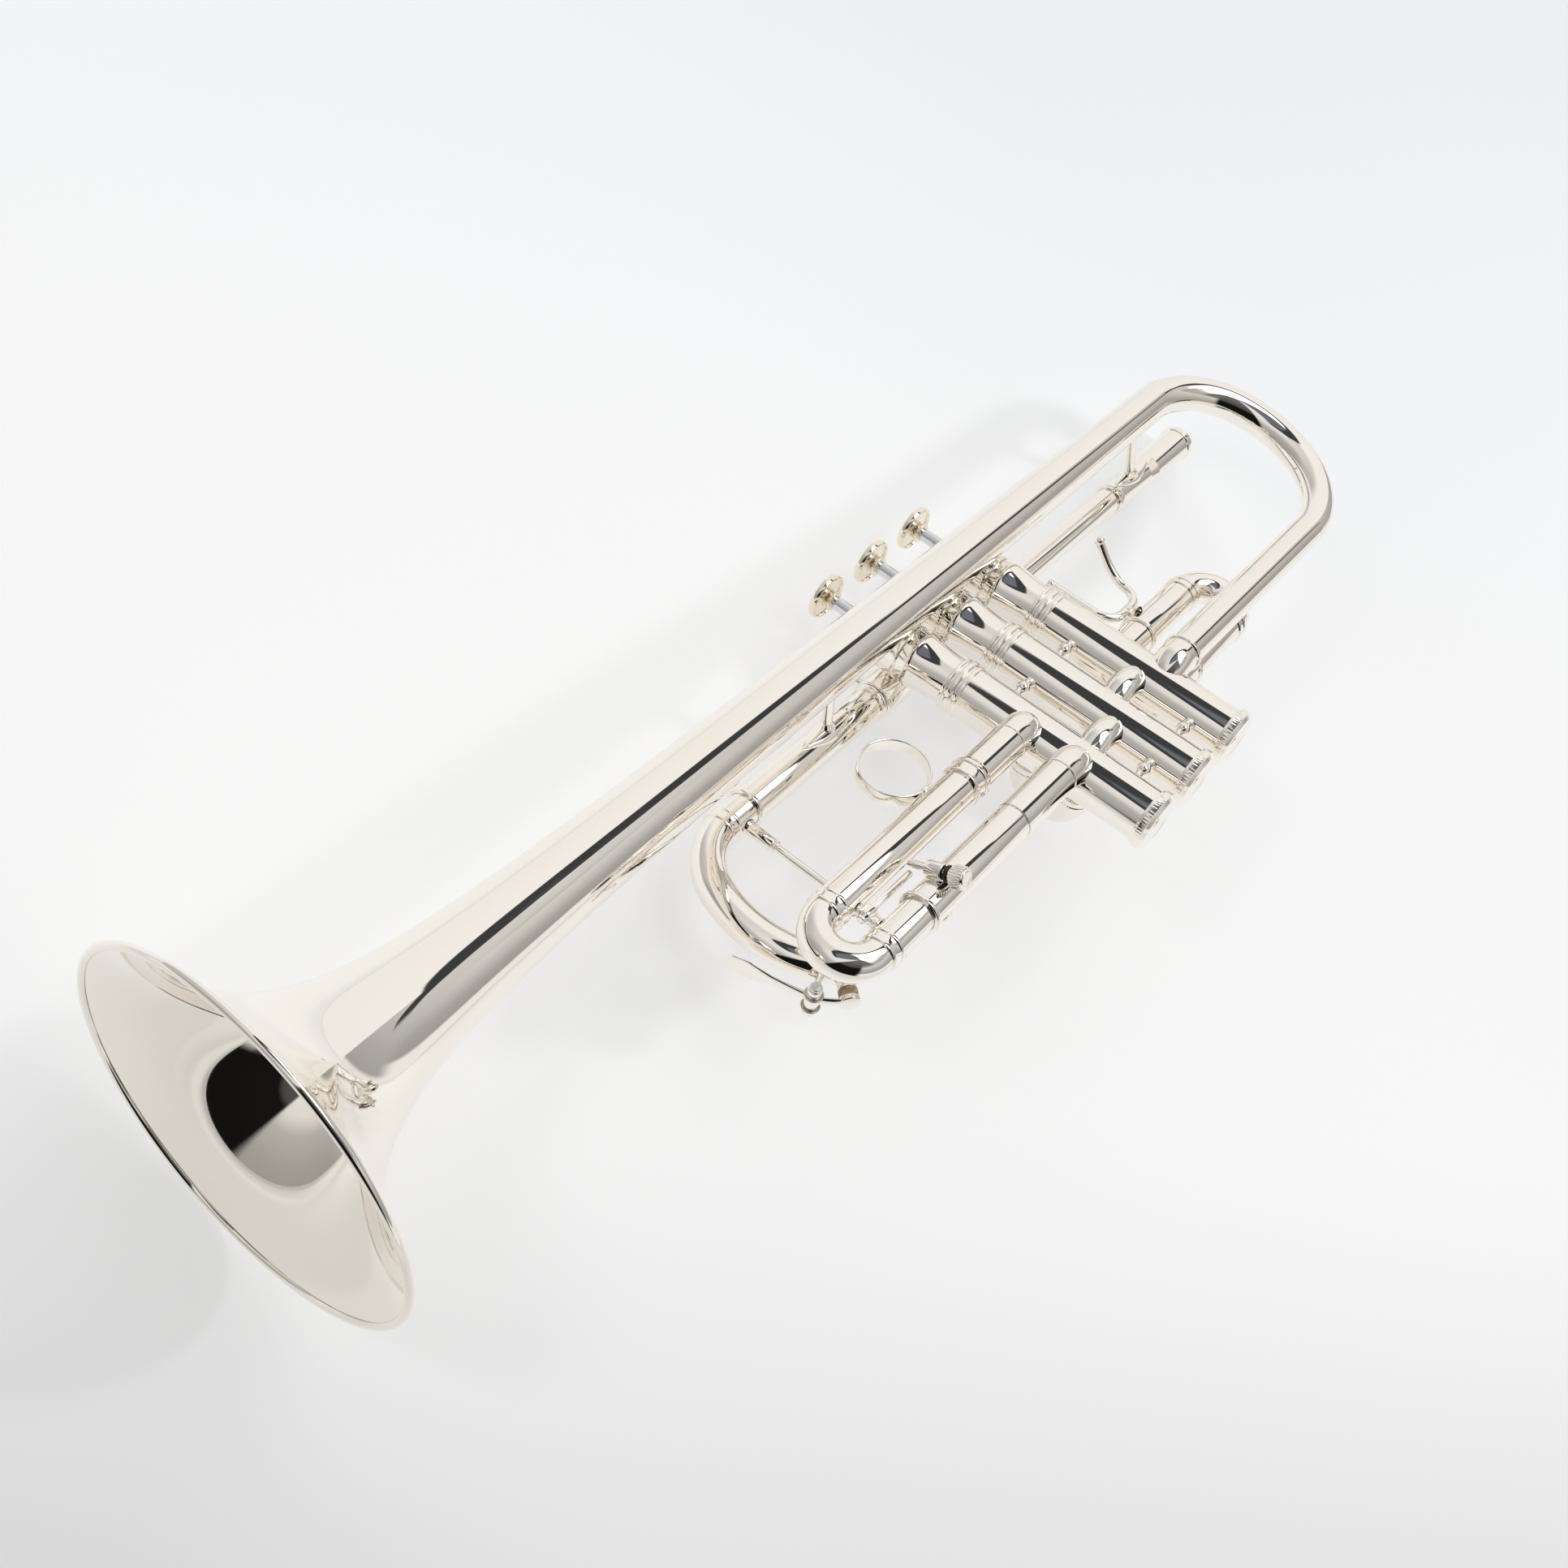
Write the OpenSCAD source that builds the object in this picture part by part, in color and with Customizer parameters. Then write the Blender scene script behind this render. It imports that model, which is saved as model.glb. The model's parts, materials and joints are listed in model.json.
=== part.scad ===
// B-flat trumpet, resting on its right side: every tube, valve, slide, brace and cap
// is a separate solid. Built in the player's frame (x forward to the bell,
// y to the left, z towards the finger buttons, bell axis on x, rim plane x = 0)
// and then laid on its side by pose().

/* [Bell] */
// Radius over the rolled rim
rim_r = 60.2; // [55:0.1:64]
// Sheet thickness of the bell
bell_wall = 0.7; // [0.4:0.05:1.5]
// Where the flare is joined to the bell tail
bell_join = 190; // [120:1:230]
// Where the tail meets the bow
tail_end = 447; // [420:1:460]

/* [Bow] */
// Radius of the bow tube at its upper end
bow_r = 6.9; // [6:0.05:8]
// Radius of the bow tube at its lower end
bow_r2 = 6.2; // [5.8:0.05:8]
// Height between the two legs of the bow
bow_h = 75.6; // [65:0.1:85]
// Sideways lean of the lower leg
bow_lean = 12.3; // [0:0.1:16]
// Rearmost reach of the bow
bow_back = 482; // [470:0.5:495]

/* [Valves] */
// Position of the middle valve behind the rim
valve_x = 308; // [295:0.5:320]
// Distance between neighbouring valves
pitch = 26; // [24:0.1:28]
// Distance of the valve axes to the right of the bell axis
valve_y = 20.2; // [19.9:0.1:24]
// Outer radius of a casing
casing_r = 9.5; // [9:0.1:11]
// Bore radius of a casing
bore_r = 8.5; // [8:0.05:9]
// Radial gap between a piston and its casing
piston_gap = 0.05; // [0.02:0.01:0.1]
// Travel of a piston
stroke = 16.5; // [14:0.5:18]
// Radius of a finger button
button_r = 8.5; // [7:0.1:10]
// Height of the finger-button underside above the bell axis
button_z = 28.6; // [24:0.1:34]

/* [Slides] */
// Outer radius of the fixed slide tubes
outer_r = 6.45; // [6:0.05:7]
// Radial gap between a slide tube and the tube it runs in
slide_gap = 0.06; // [0.02:0.01:0.1]
// Wall of the slide tubes
tube_wall = 0.5; // [0.4:0.05:1]
// Height between the legs of the valve slides
leg_gap = 20.1; // [18:0.1:24]
// Height between the legs of the main tuning slide
tuning_h = 66.4; // [55:0.1:80]
// Position of the tuning slide's front behind the rim
tuning_front = 160; // [150:0.5:175]

/* [Leadpipe] */
// Distance of the leadpipe to the right of the bell axis
lead_y = 38; // [34:0.1:42]
// Radius of the mouthpiece socket
socket_r = 5.5; // [5.3:0.05:6]

/* [Hidden] */
$fn = 64;
rim_wire = 1.3;
zv_ring = -28.6;            // triple ring between the two halves of a casing
zv_bot = -104.2;            // lower end of a casing
cap_r = 10.7;
lead_z = -3.6;
inner_r = outer_r - tube_wall - slide_gap;   // outside of the moving tubes
air_r = inner_r - 0.45;
y3 = -12.5;                 // plane of the third-valve slide
z3 = -56.0;                 // its upper leg
x3_front = -152.8;
y1 = -27;                   // plane of the first-valve slide
z1 = -55.5;
x1_back = -407.5;
z2 = -52;                   // second-valve slide, upper leg
ts_z = lead_z - tuning_h;
crook_r = leg_gap/2;
ts_rc = 24;
ts_al = 66;
ts_rm = (tuning_h - 2*ts_rc*(1 - cos(ts_al)))/(2*cos(ts_al));
ts_x0 = -tuning_front - inner_r - ts_rc*sin(ts_al) - ts_rm*(1 - sin(ts_al)); // end of the straight legs
bow_hh = norm([bow_h, bow_lean]);
bow_tilt = atan2(bow_lean, bow_h);
bow_rc = 34;
bow_al = 68;
bow_rm = (bow_hh - 2*bow_rc*(1 - cos(bow_al)))/(2*cos(bow_al));
bow_x0 = -bow_back + (bow_r + bow_r2)/2 + bow_rc*sin(bow_al) + bow_rm*(1 - sin(bow_al));
silver = [0.90, 0.88, 0.84];
gilt = [0.93, 0.86, 0.72];
steel = [0.70, 0.71, 0.73];
black = [0.06, 0.06, 0.06];
cork = [0.72, 0.53, 0.36];
spring_c = [0.62, 0.60, 0.55];

// ---- resting pose: the player's frame laid on its right side ----
lie_turn = [113.42, -2.344, 0];
lie_at = [239.24, -25.74, 60.14];
module pose() translate(lie_at) rotate(lie_turn) children();

// ---- helpers ----
// Solid rod from a to b
module rod(a, b, r) {
  d = b - a;
  l = norm(d);
  translate(a) rotate([0, acos(d[2]/l), atan2(d[1], d[0])]) cylinder(h = l, r = r);
}
// Tube from a to b
module pipe(a, b, ro, ri) {
  e = (b - a)/norm(b - a)*0.5;
  difference() {
    rod(a, b, ro);
    rod(a - e, b + e, ri);
  }
}
// Rounded bead around a tube running along x
module bead_x(x, y, z, r, w) translate([x - w/2, y, z]) rotate([0, 90, 0]) cylinder(h = w, r = r);
module ring_x(x, y, z, ro, ri, w) translate([x - w/2, y, z]) rotate([0, 90, 0]) difference() {
  cylinder(h = w, r = ro);
  translate([0, 0, -1]) cylinder(h = w + 2, r = ri);
}
// Part of a torus in the xz plane of a given centre: angle a0 is measured from +x towards +z
module bend(c, R, r, a0, sweep) translate(c) rotate([90, 0, 0]) rotate([0, 0, a0])
  rotate_extrude(angle = sweep) translate([R, 0]) circle(r = r);
module bend_pipe(c, R, ro, ri, a0, sweep) translate(c) rotate([90, 0, 0]) rotate([0, 0, a0])
  rotate_extrude(angle = sweep) translate([R, 0]) difference() { circle(r = ro); circle(r = ri); }
// The same in the xy plane
module bend_h(c, R, r, a0, sweep) translate(c) rotate([0, 0, a0])
  rotate_extrude(angle = sweep) translate([R, 0]) circle(r = r);
module at_valve(n) translate([-valve_x + (n - 2)*pitch, -valve_y, 0]) children();
function vx(n) = -valve_x + (n - 2)*pitch;
// Plain solid of every casing, used to trim the tubes that meet it
module casing_block(n, r) at_valve(n) translate([0, 0, zv_bot]) cylinder(h = 120, r = r);

// ---- bell ----
function flare(d) = 13.02 - 0.01424*d + 2.2146e8/pow(d + 67.66, 3.6483);
function flare_out(d) = flare(d)*(rim_r - 0.6)/59.55;
flare_d = [for (i = [0 : 30]) bell_join*pow(i/30, 2)];
tail_d = [for (i = [0 : 12]) bell_join + (tail_end - bell_join)*i/12];
function tail_out(d) = d < bell_join + 1 ? flare_out(d) : max(bow_r, flare_out(d));
module spin_x(pts) rotate([0, -90, 0]) rotate_extrude() polygon(pts);
module bell_flare() color(silver) pose() spin_x(concat(
  [for (d = flare_d) [flare_out(d), d]],
  [for (i = [len(flare_d) - 1 : -1 : 0]) [flare_out(flare_d[i]) - bell_wall*(1 + 0.9*exp(-flare_d[i]/9)), flare_d[i]]]));
module bell_rim() color(silver) pose() rotate([0, 90, 0]) difference() {
  translate([0, 0, -0.2]) rotate_extrude() translate([rim_r - rim_wire, 0]) circle(r = rim_wire);
  translate([0, 0, -6]) cylinder(h = 6, r1 = 40, r2 = flare_out(0));
}
module bell_tail() color(silver) pose() union() {
  spin_x(concat(
    [for (d = tail_d) [tail_out(d), d]],
    [for (i = [len(tail_d) - 1 : -1 : 0]) [tail_out(tail_d[i]) - bell_wall, tail_d[i]]]));
}
// Bow: straight stub, corner, wide middle arc, corner, in a plane that leans to the right
module lean() rotate([-bow_tilt, 0, 0]) children();
module bow_part(i, ro, ri) {
  m = [bow_x0 - bow_rc*sin(bow_al) + bow_rm*sin(bow_al), 0, -bow_hh/2];
  if (i == 0) bend_pipe([bow_x0, 0, -bow_rc], bow_rc, ro, ri, 90, bow_al);
  if (i == 1) bend_pipe(m, bow_rm, ro, ri, 90 + bow_al, 180 - 2*bow_al);
  if (i == 2) bend_pipe([bow_x0, 0, -bow_hh + bow_rc], bow_rc, ro, ri, 270 - bow_al, bow_al);
}
bow_rmid = (bow_r + bow_r2)/2;
module bell_bow() color(silver) pose() lean() union() {
  bow_part(0, bow_r, bow_r - 0.6);
  bow_part(1, bow_rmid, bow_rmid - 0.6);
  bow_part(2, bow_r2, bow_r2 - 0.6);
  pipe([bow_x0, 0, 0], [-tail_end, 0, 0], bow_r, bow_r - 0.6);
}
leg_y = -bow_lean;
leg_z = -bow_h;
knuckle_x = vx(1) - 14.5;
module bell_lower_leg() color(silver) pose() pipe([bow_x0, leg_y, leg_z], [knuckle_x, leg_y, leg_z], bow_r2, bow_r2 - 0.6);
// Elbow that turns a forward-running tube at (y, z) into casing n, from behind (s = 1) or the front (s = -1)
module elbow(n, y, z, s, r, xs, R = 6.7) {
  x0 = vx(n) - s*(R + 3);
  rod([xs, y, z], [x0, y, z], r);
  translate([x0, y - R, z]) rotate([0, 0, s > 0 ? 0 : 90]) rotate_extrude(angle = 90) translate([R, 0]) circle(r = r);
}
// Elbow from behind into casing 1 that turns to the left instead
module elbow_left(y, z, r, xs, R = 8) {
  x0 = vx(1) - R;
  rod([xs, y, z], [x0, y, z], r);
  translate([x0, y + R, z]) rotate([0, 0, -90]) rotate_extrude(angle = 90) translate([R, 0]) circle(r = r);
}
module bell_knuckle() color(silver) pose() union() {
  difference() {
    elbow(1, leg_y, leg_z, 1, bow_r2 + 0.35, knuckle_x);
    elbow(1, leg_y, leg_z, 1, bow_r2 - 0.6, knuckle_x - 1);
    casing_block(1, casing_r);
  }
}

// ---- valve casings ----
module casing_shape() {
  difference() {
    union() {
      translate([0, 0, zv_bot]) cylinder(h = zv_ring - zv_bot - 1, r = casing_r);
      translate([0, 0, zv_ring - 3.4]) cylinder(h = 1.4, r = casing_r + 0.55);
      translate([0, 0, zv_ring - 2]) cylinder(h = 1, r = casing_r + 0.1);
      translate([0, 0, zv_ring - 1]) cylinder(h = 2, r = casing_r + 0.9);
      translate([0, 0, zv_ring + 1]) cylinder(h = 1, r = casing_r + 0.1);
      translate([0, 0, zv_ring + 2]) cylinder(h = 1.2, r = casing_r + 0.5);
      translate([0, 0, zv_ring + 3.2]) cylinder(h = 5.3, r1 = casing_r - 0.6, r2 = casing_r - 0.45);
      translate([0, 0, zv_ring + 8.5]) cylinder(h = 5, r1 = casing_r - 0.45, r2 = casing_r);
      translate([0, 0, zv_ring + 13.5]) cylinder(h = 3.7, r1 = casing_r, r2 = casing_r + 0.8);
      translate([0, 0, zv_ring + 17.2]) cylinder(h = 1.5, r = casing_r + 0.8);
      translate([0, 0, zv_ring + 18.7]) cylinder(h = -6.6 - zv_ring - 18.7, r = casing_r + 0.15);
      translate([0, 0, -6.6]) cylinder(h = 7.6, r = casing_r - 0.35);
    }
    translate([0, 0, zv_bot - 1]) cylinder(h = 120, r = bore_r);
  }
}
module casing_1() color(silver) pose() difference() {
  at_valve(1) casing_shape();
  elbow(1, leg_y, leg_z, 1, bow_r2 - 0.6, -350);
  knuckle_path(1, -69, 4.7);
  first_bores(air_r);
}
module casing_2() color(silver) pose() difference() {
  at_valve(2) casing_shape();
  knuckle_path(1, -69, 4.7);
  knuckle_path(2, -76, 4.7);
  second_bores(air_r);
}
module casing_3() color(silver) pose() difference() {
  at_valve(3) casing_shape();
  knuckle_path(2, -76, 4.7);
  elbow(3, y3, z3, -1, air_r, -262);
  elbow(3, y3, z3 - leg_gap, -1, air_r, -262);
  tuning_low_path(air_r, -262);
}
module top_cap() difference() {
  union() {
    translate([0, 0, -6.6]) cylinder(h = 1.6, r = cap_r - 0.5);
    translate([0, 0, -5]) cylinder(h = 7, r = cap_r - 0.7);
    translate([0, 0, 2]) cylinder(h = 2.2, r = cap_r - 0.2);
    translate([0, 0, 4.2]) cylinder(h = 2.6, r1 = cap_r - 0.6, r2 = 5.6);
  }
  translate([0, 0, -7]) cylinder(h = 8, r = casing_r - 0.35);
  translate([0, 0, -7]) cylinder(h = 10.2, r = 6.2);
  translate([0, 0, -8]) cylinder(h = 20, r = 2.85);
}
module top_caps() color(silver) pose() for (n = [1 : 3]) at_valve(n) top_cap();
module cap_felts() color(black) pose() for (n = [1 : 3]) at_valve(n) translate([0, 0, 6.8]) difference() {
  cylinder(h = 2.2, r = 5.2);
  translate([0, 0, -1]) cylinder(h = 5, r = 2.85);
}
// Screwed bottom cap: knurled edge, dished face, central weight hole
module bottom_cap() difference() {
  union() {
    translate([0, 0, zv_bot - 3.4]) cylinder(h = 2.6, r = cap_r);
    translate([0, 0, zv_bot - 0.8]) cylinder(h = 0.8, r = cap_r - 0.5);
    translate([0, 0, zv_bot - 4.8]) cylinder(h = 1.4, r1 = cap_r - 1.6, r2 = cap_r - 0.4);
    translate([0, 0, zv_bot - 1]) cylinder(h = 3.8, r = bore_r);
  }
  translate([0, 0, zv_bot - 1.6]) cylinder(h = 8, r = 7.3);
  translate([0, 0, zv_bot - 9.2]) cylinder(h = 5.4, r1 = 9, r2 = 7.2);
  translate([0, 0, zv_bot - 8]) cylinder(h = 10, r = 1.7);
}
module bottom_cap_1() color(silver) pose() at_valve(1) bottom_cap();
module bottom_cap_2() color(silver) pose() at_valve(2) bottom_cap();
module bottom_cap_3() color(silver) pose() at_valve(3) bottom_cap();
// Short cross studs that tie neighbouring casings together
module casing_studs() color(silver) pose() difference() {
  for (n = [1 : 2], z = [-44.5, -93.5])
    translate([vx(n) + pitch/2, -valve_y + 3.6, z]) {
      rotate([0, 90, 0]) rotate_extrude() polygon([[0, -5.2], [1.5, -5.2], [1.5, -2.1], [2.2, -1.4], [2.5, -0.6],
        [2.5, 0.6], [2.2, 1.4], [1.5, 2.1], [1.5, 5.2], [0, 5.2]]);
    }
  for (n = [1 : 3]) casing_block(n, casing_r);
}
// Short air passages between neighbouring valves
module knuckle_path(n, z, r) translate([vx(n) + pitch/2, -valve_y - 4.2, z])
  rotate([0, 0, 25]) rotate_extrude(angle = 130) translate([9.6, 0]) circle(r = r);
module intervalve_knuckles() color(silver) pose() difference() {
  union() {
    knuckle_path(1, -69, 5.3);
    knuckle_path(2, -76, 5.3);
  }
  knuckle_path(1, -69, 4.7);
  knuckle_path(2, -76, 4.7);
  for (n = [1 : 3]) casing_block(n, casing_r);
}

// ---- leadpipe ----
lead_back = -480;
module leadpipe() color(silver) pose() difference() {
  union() {
    rod([lead_back + 27, -lead_y, lead_z], [-300, -lead_y, lead_z], 5.2);
    rod([-300, -lead_y, lead_z], [-262.5, -lead_y, lead_z], inner_r - 0.05);
  }
  rod([lead_back + 20, -lead_y, lead_z], [-250, -lead_y, lead_z], 4.6);
}
module mouthpiece_receiver() color(silver) pose() difference() {
  union() {
    rod([lead_back, -lead_y, lead_z], [lead_back + 3, -lead_y, lead_z], 7.1);
    rod([lead_back + 3, -lead_y, lead_z], [lead_back + 26, -lead_y, lead_z], 6.7);
    translate([lead_back + 26, -lead_y, lead_z]) rotate([0, 90, 0]) cylinder(h = 4, r1 = 6.7, r2 = 5.9);
    rod([lead_back + 30, -lead_y, lead_z], [lead_back + 54, -lead_y, lead_z], 5.9);
    rod([lead_back + 51, -lead_y, lead_z], [lead_back + 53, -lead_y, lead_z], 6.3);
  }
  rod([lead_back - 1, -lead_y, lead_z], [lead_back + 25, -lead_y, lead_z], socket_r);
  rod([lead_back + 24, -lead_y, lead_z], [lead_back + 60, -lead_y, lead_z], 5.2);
}
// Fixed outer tubes of the main tuning slide
module tuning_outer_upper() color(silver) pose() difference() {
  union() {
    rod([-268, -lead_y, lead_z], [-201, -lead_y, lead_z], outer_r);
    bead_x(-201.9, -lead_y, lead_z, outer_r + 1.0, 1.8);
    translate([-270, -lead_y, lead_z]) rotate([0, 90, 0]) cylinder(h = 3, r = outer_r + 0.4);
  }
  rod([-300, -lead_y, lead_z], [-262.5, -lead_y, lead_z], inner_r - 0.05);
  rod([-263, -lead_y, lead_z], [-190, -lead_y, lead_z], inner_r + slide_gap);
}
// Lower outer tube runs back beside valve 3 and bends into its right side
module tuning_low_path(r, xs) translate([0, 0, ts_z]) {
  rod([xs, -lead_y, 0], [vx(3) + 8, -lead_y, 0], r);
  translate([vx(3) + 8, -lead_y + 8, 0]) rotate([0, 0, 180]) rotate_extrude(angle = 90) translate([8, 0]) circle(r = r);
  rod([vx(3), -lead_y + 8, 0], [vx(3), -valve_y - 4, 0], r);
}
module tuning_outer_lower() color(silver) pose() difference() {
  union() {
    tuning_low_path(outer_r, -215);
    bead_x(-215.9, -lead_y, ts_z, outer_r + 1.0, 1.8);
    bead_x(-262, -lead_y, ts_z, outer_r + 0.4, 2.4);
  }
  tuning_low_path(air_r, -240);
  rod([-262, -lead_y, ts_z], [-200, -lead_y, ts_z], inner_r + slide_gap);
  casing_block(3, casing_r);
}

// ---- braces and hook ----
module foot(x, y, z, dir, rt) // oval foot that sits on a tube of radius rt
  intersection() {
    translate([x, y, z]) rotate([0, 90, 0]) difference() {
      translate([0, 0, -14]) cylinder(h = 28, r = rt + 1.3);
      translate([0, 0, -15]) cylinder(h = 30, r = rt);
    }
    translate([x, y + dir*rt, z]) rotate([90, 0, 0]) translate([0, 0, -5]) linear_extrude(10)
      polygon([[-13, 0], [0, -4.4], [13, 0], [0, 4.4]]);
  }
module front_brace() color(silver) pose() difference() {
  union() {
    foot(-243, -lead_y, lead_z, 1, outer_r);
    foot(-243, 0, 0, -1, flare_out(243));
    rod([-243, -lead_y + outer_r + 0.4, lead_z + 0.4], [-243, -flare_out(243) - 0.5, -0.4], 1.9);
  }
  rod([-262, -lead_y, lead_z], [-201, -lead_y, lead_z], outer_r);
  rotate([0, -90, 0]) translate([0, 0, 220]) cylinder(h = 50, r = flare_out(243));
}
module rear_brace() color(silver) pose() difference() {
  union() {
    foot(-440, -lead_y, lead_z, 1, 5.9);
    foot(-432, 0, 0, -1, 6.95);
    rod([-440, -lead_y + 5.6, lead_z + 0.4], [-432, -6.6, -0.3], 1.7);
  }
  rod([-470, -lead_y, lead_z], [-400, -lead_y, lead_z], 5.9);
  rotate([0, -90, 0]) translate([0, 0, 400]) cylinder(h = 60, r = 6.95);
}
module pinky_hook() color(silver) pose() difference() {
  union() {
    rod([-276, -lead_y - 2, lead_z + 5.5], [-276, -lead_y - 2, 10], 2.0);
    translate([-285, -lead_y - 2, 10]) rotate([90, 0, 0]) rotate_extrude(angle = 165) translate([9, 0]) circle(r = 2.0);
    translate([-285 + 9*cos(165), -lead_y - 2, 10 + 9*sin(165)]) sphere(r = 2.2);
    rod([-284, -lead_y, lead_z], [-268, -lead_y, lead_z], outer_r + 0.9);
  }
  rod([-300, -lead_y, lead_z], [-262, -lead_y, lead_z], inner_r - 0.05);
  rod([-270, -lead_y, lead_z], [-201, -lead_y, lead_z], outer_r + 0.5);
}

// ---- third-valve slide, fixed side ----
sleeve_x = -246;
ring3_x = -189.5;
module third_tube_upper() color(silver) pose() difference() {
  union() {
    elbow(3, y3, z3, -1, outer_r - 0.25, -248);
    bead_x(-267.5, y3, z3, outer_r + 0.1, 1.6);
    rod([-250, y3, z3], [-172, y3, z3], inner_r - tube_wall - slide_gap);
  }
  elbow(3, y3, z3, -1, air_r - 0.8, -150);
  casing_block(3, casing_r);
}
module third_tube_lower() color(silver) pose() difference() {
  union() {
    elbow(3, y3, z3 - leg_gap, -1, outer_r, ring3_x);
    bead_x(-267.5, y3, z3 - leg_gap, outer_r + 0.35, 1.6);
    bead_x(ring3_x - 0.9, y3, z3 - leg_gap, outer_r + 1.0, 1.8);
  }
  elbow(3, y3, z3 - leg_gap, -1, air_r, -240);
  rod([-262, y3, z3 - leg_gap], [-180, y3, z3 - leg_gap], inner_r + slide_gap);
  casing_block(3, casing_r);
}
// Stop for the third slide: post on the lower tube, thumb-screw across it
screw_a = [-201, -9.9, -63.2];
screw_b = [-201, 0.3, -82.8];
screw_u = (screw_b - screw_a)/norm(screw_b - screw_a);
module slide_stop_post() color(silver) pose() difference() {
  union() {
    rod([-201, y3, z3 - leg_gap], screw_a + screw_u*10.4, 2.8);
    rod(screw_a + screw_u*7.4, screw_a + screw_u*13.6, 2.9);
  }
  rod([-240, y3, z3 - leg_gap], [-180, y3, z3 - leg_gap], outer_r);
  rod(screw_a, screw_b, 1.35);
}
module stop_thumb_screw() color(silver) pose() union() {
  rod(screw_a, screw_a + screw_u*15.9, 1.35);
  rod(screw_a + screw_u*15.8, screw_a + screw_u*17.0, 2.4);
  rod(screw_a + screw_u*16.9, screw_a + screw_u*20.9, 3.6);
  rod(screw_a + screw_u*20.8, screw_a + screw_u*21.8, 2.9);
}
module stop_o_ring() color(black) pose() translate(screw_a + screw_u*15.0) 
  rotate([0, acos(screw_u[2]), atan2(screw_u[1], screw_u[0])]) rotate_extrude() translate([2.1, 0]) circle(r = 0.7);

// ---- first and second valve slides, fixed side ----
first_joint = -358;
module first_bores(r) for (z = [z1, z1 - leg_gap]) elbow_left(y1, z, r, -352);
module first_tubes() color(silver) pose() for (z = [z1, z1 - leg_gap]) difference() {
  union() {
    elbow_left(y1, z, outer_r, first_joint);
    rod([-388.5, y1, z], [first_joint + 1, y1, z], outer_r - tube_wall - slide_gap);
  }
  elbow_left(y1, z, air_r, -392);
  casing_block(1, casing_r);
}
y2_mouth = -valve_y - 33;
module second_bores(r) for (z = [z2, z2 - leg_gap]) rod([vx(2), -valve_y, z], [vx(2), y2_mouth, z], r);
module second_outer_tubes() color(silver) pose() difference() {
  for (z = [z2, z2 - leg_gap]) {
    rod([vx(2), -valve_y, z], [vx(2), y2_mouth, z], outer_r);
    rod([vx(2), y2_mouth + 1.8, z], [vx(2), y2_mouth, z], outer_r + 1.0);
  }
  for (z = [z2, z2 - leg_gap]) rod([vx(2), -valve_y, z], [vx(2), y2_mouth - 2, z], inner_r + slide_gap);
  casing_block(2, casing_r);
}

// ---- pistons ----
p_top = -25;
p_bot = zv_bot + 19.6;
module piston(zs) difference() {
  translate([0, 0, p_bot]) cylinder(h = p_top - p_bot, r = bore_r - piston_gap);
  translate([0, 0, p_bot - 1]) cylinder(h = 5, r = 6.6);
  translate([0, 0, p_top - 6]) cylinder(h = 8, r = 6.2);
  for (z = zs) translate([0, -12, z]) rotate([-90, 0, 20]) cylinder(h = 24, r = 4.4);
}
module piston_1() color(steel) pose() at_valve(1) piston([-57, -75]);
module piston_2() color(steel) pose() at_valve(2) piston([-52, -69, -79]);
module piston_3() color(steel) pose() at_valve(3) piston([-56, -76]);
module stem() union() {
  translate([0, 0, p_top - 6]) cylinder(h = 2.5, r = 5.2);
  translate([0, 0, p_top - 5]) cylinder(h = button_z - p_top + 6, r = 2.4);
}
module valve_stem_1() color(steel) pose() at_valve(1) stem();
module valve_stem_2() color(steel) pose() at_valve(2) stem();
module valve_stem_3() color(steel) pose() at_valve(3) stem();
// Finger button: spool-shaped hub, wide disc with recessed underside, dished top
module button() difference() {
  union() {
    translate([0, 0, button_z - 2.6]) cylinder(h = 1.2, r = 3.9);
    translate([0, 0, button_z - 1.4]) cylinder(h = 1.8, r = 3.2);
    translate([0, 0, button_z]) cylinder(h = 1.1, r1 = button_r - 0.7, r2 = button_r);
    translate([0, 0, button_z + 1.1]) cylinder(h = 1.2, r = button_r);
    translate([0, 0, button_z + 2.3]) cylinder(h = 0.9, r1 = button_r, r2 = button_r - 0.9);
  }
  translate([0, 0, button_z - 0.6]) difference() {
    cylinder(h = 1.4, r = button_r - 1.2);
    translate([0, 0, -1]) cylinder(h = 4, r = 3.2);
  }
  translate([0, 0, button_z - 6]) cylinder(h = 7, r = 2.4);
  translate([0, 0, button_z + 2.6]) cylinder(h = 3, r1 = 6.2, r2 = 7.6);
}
module finger_button_1() color(gilt) pose() at_valve(1) button();
module finger_button_2() color(gilt) pose() at_valve(2) button();
module finger_button_3() color(gilt) pose() at_valve(3) button();
// Coil spring under the piston, drawn as its stacked turns
sp_lo = zv_bot - 1.6;
sp_hi = p_bot + 4;
module coil() for (i = [0 : 6]) translate([0, 0, sp_lo + 0.5 + i*(sp_hi - sp_lo - 1)/6])
  rotate_extrude() translate([5.6, 0]) circle(r = 0.5);
module valve_spring_1() color(spring_c) pose() at_valve(1) coil();
module valve_spring_2() color(spring_c) pose() at_valve(2) coil();
module valve_spring_3() color(spring_c) pose() at_valve(3) coil();

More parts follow.
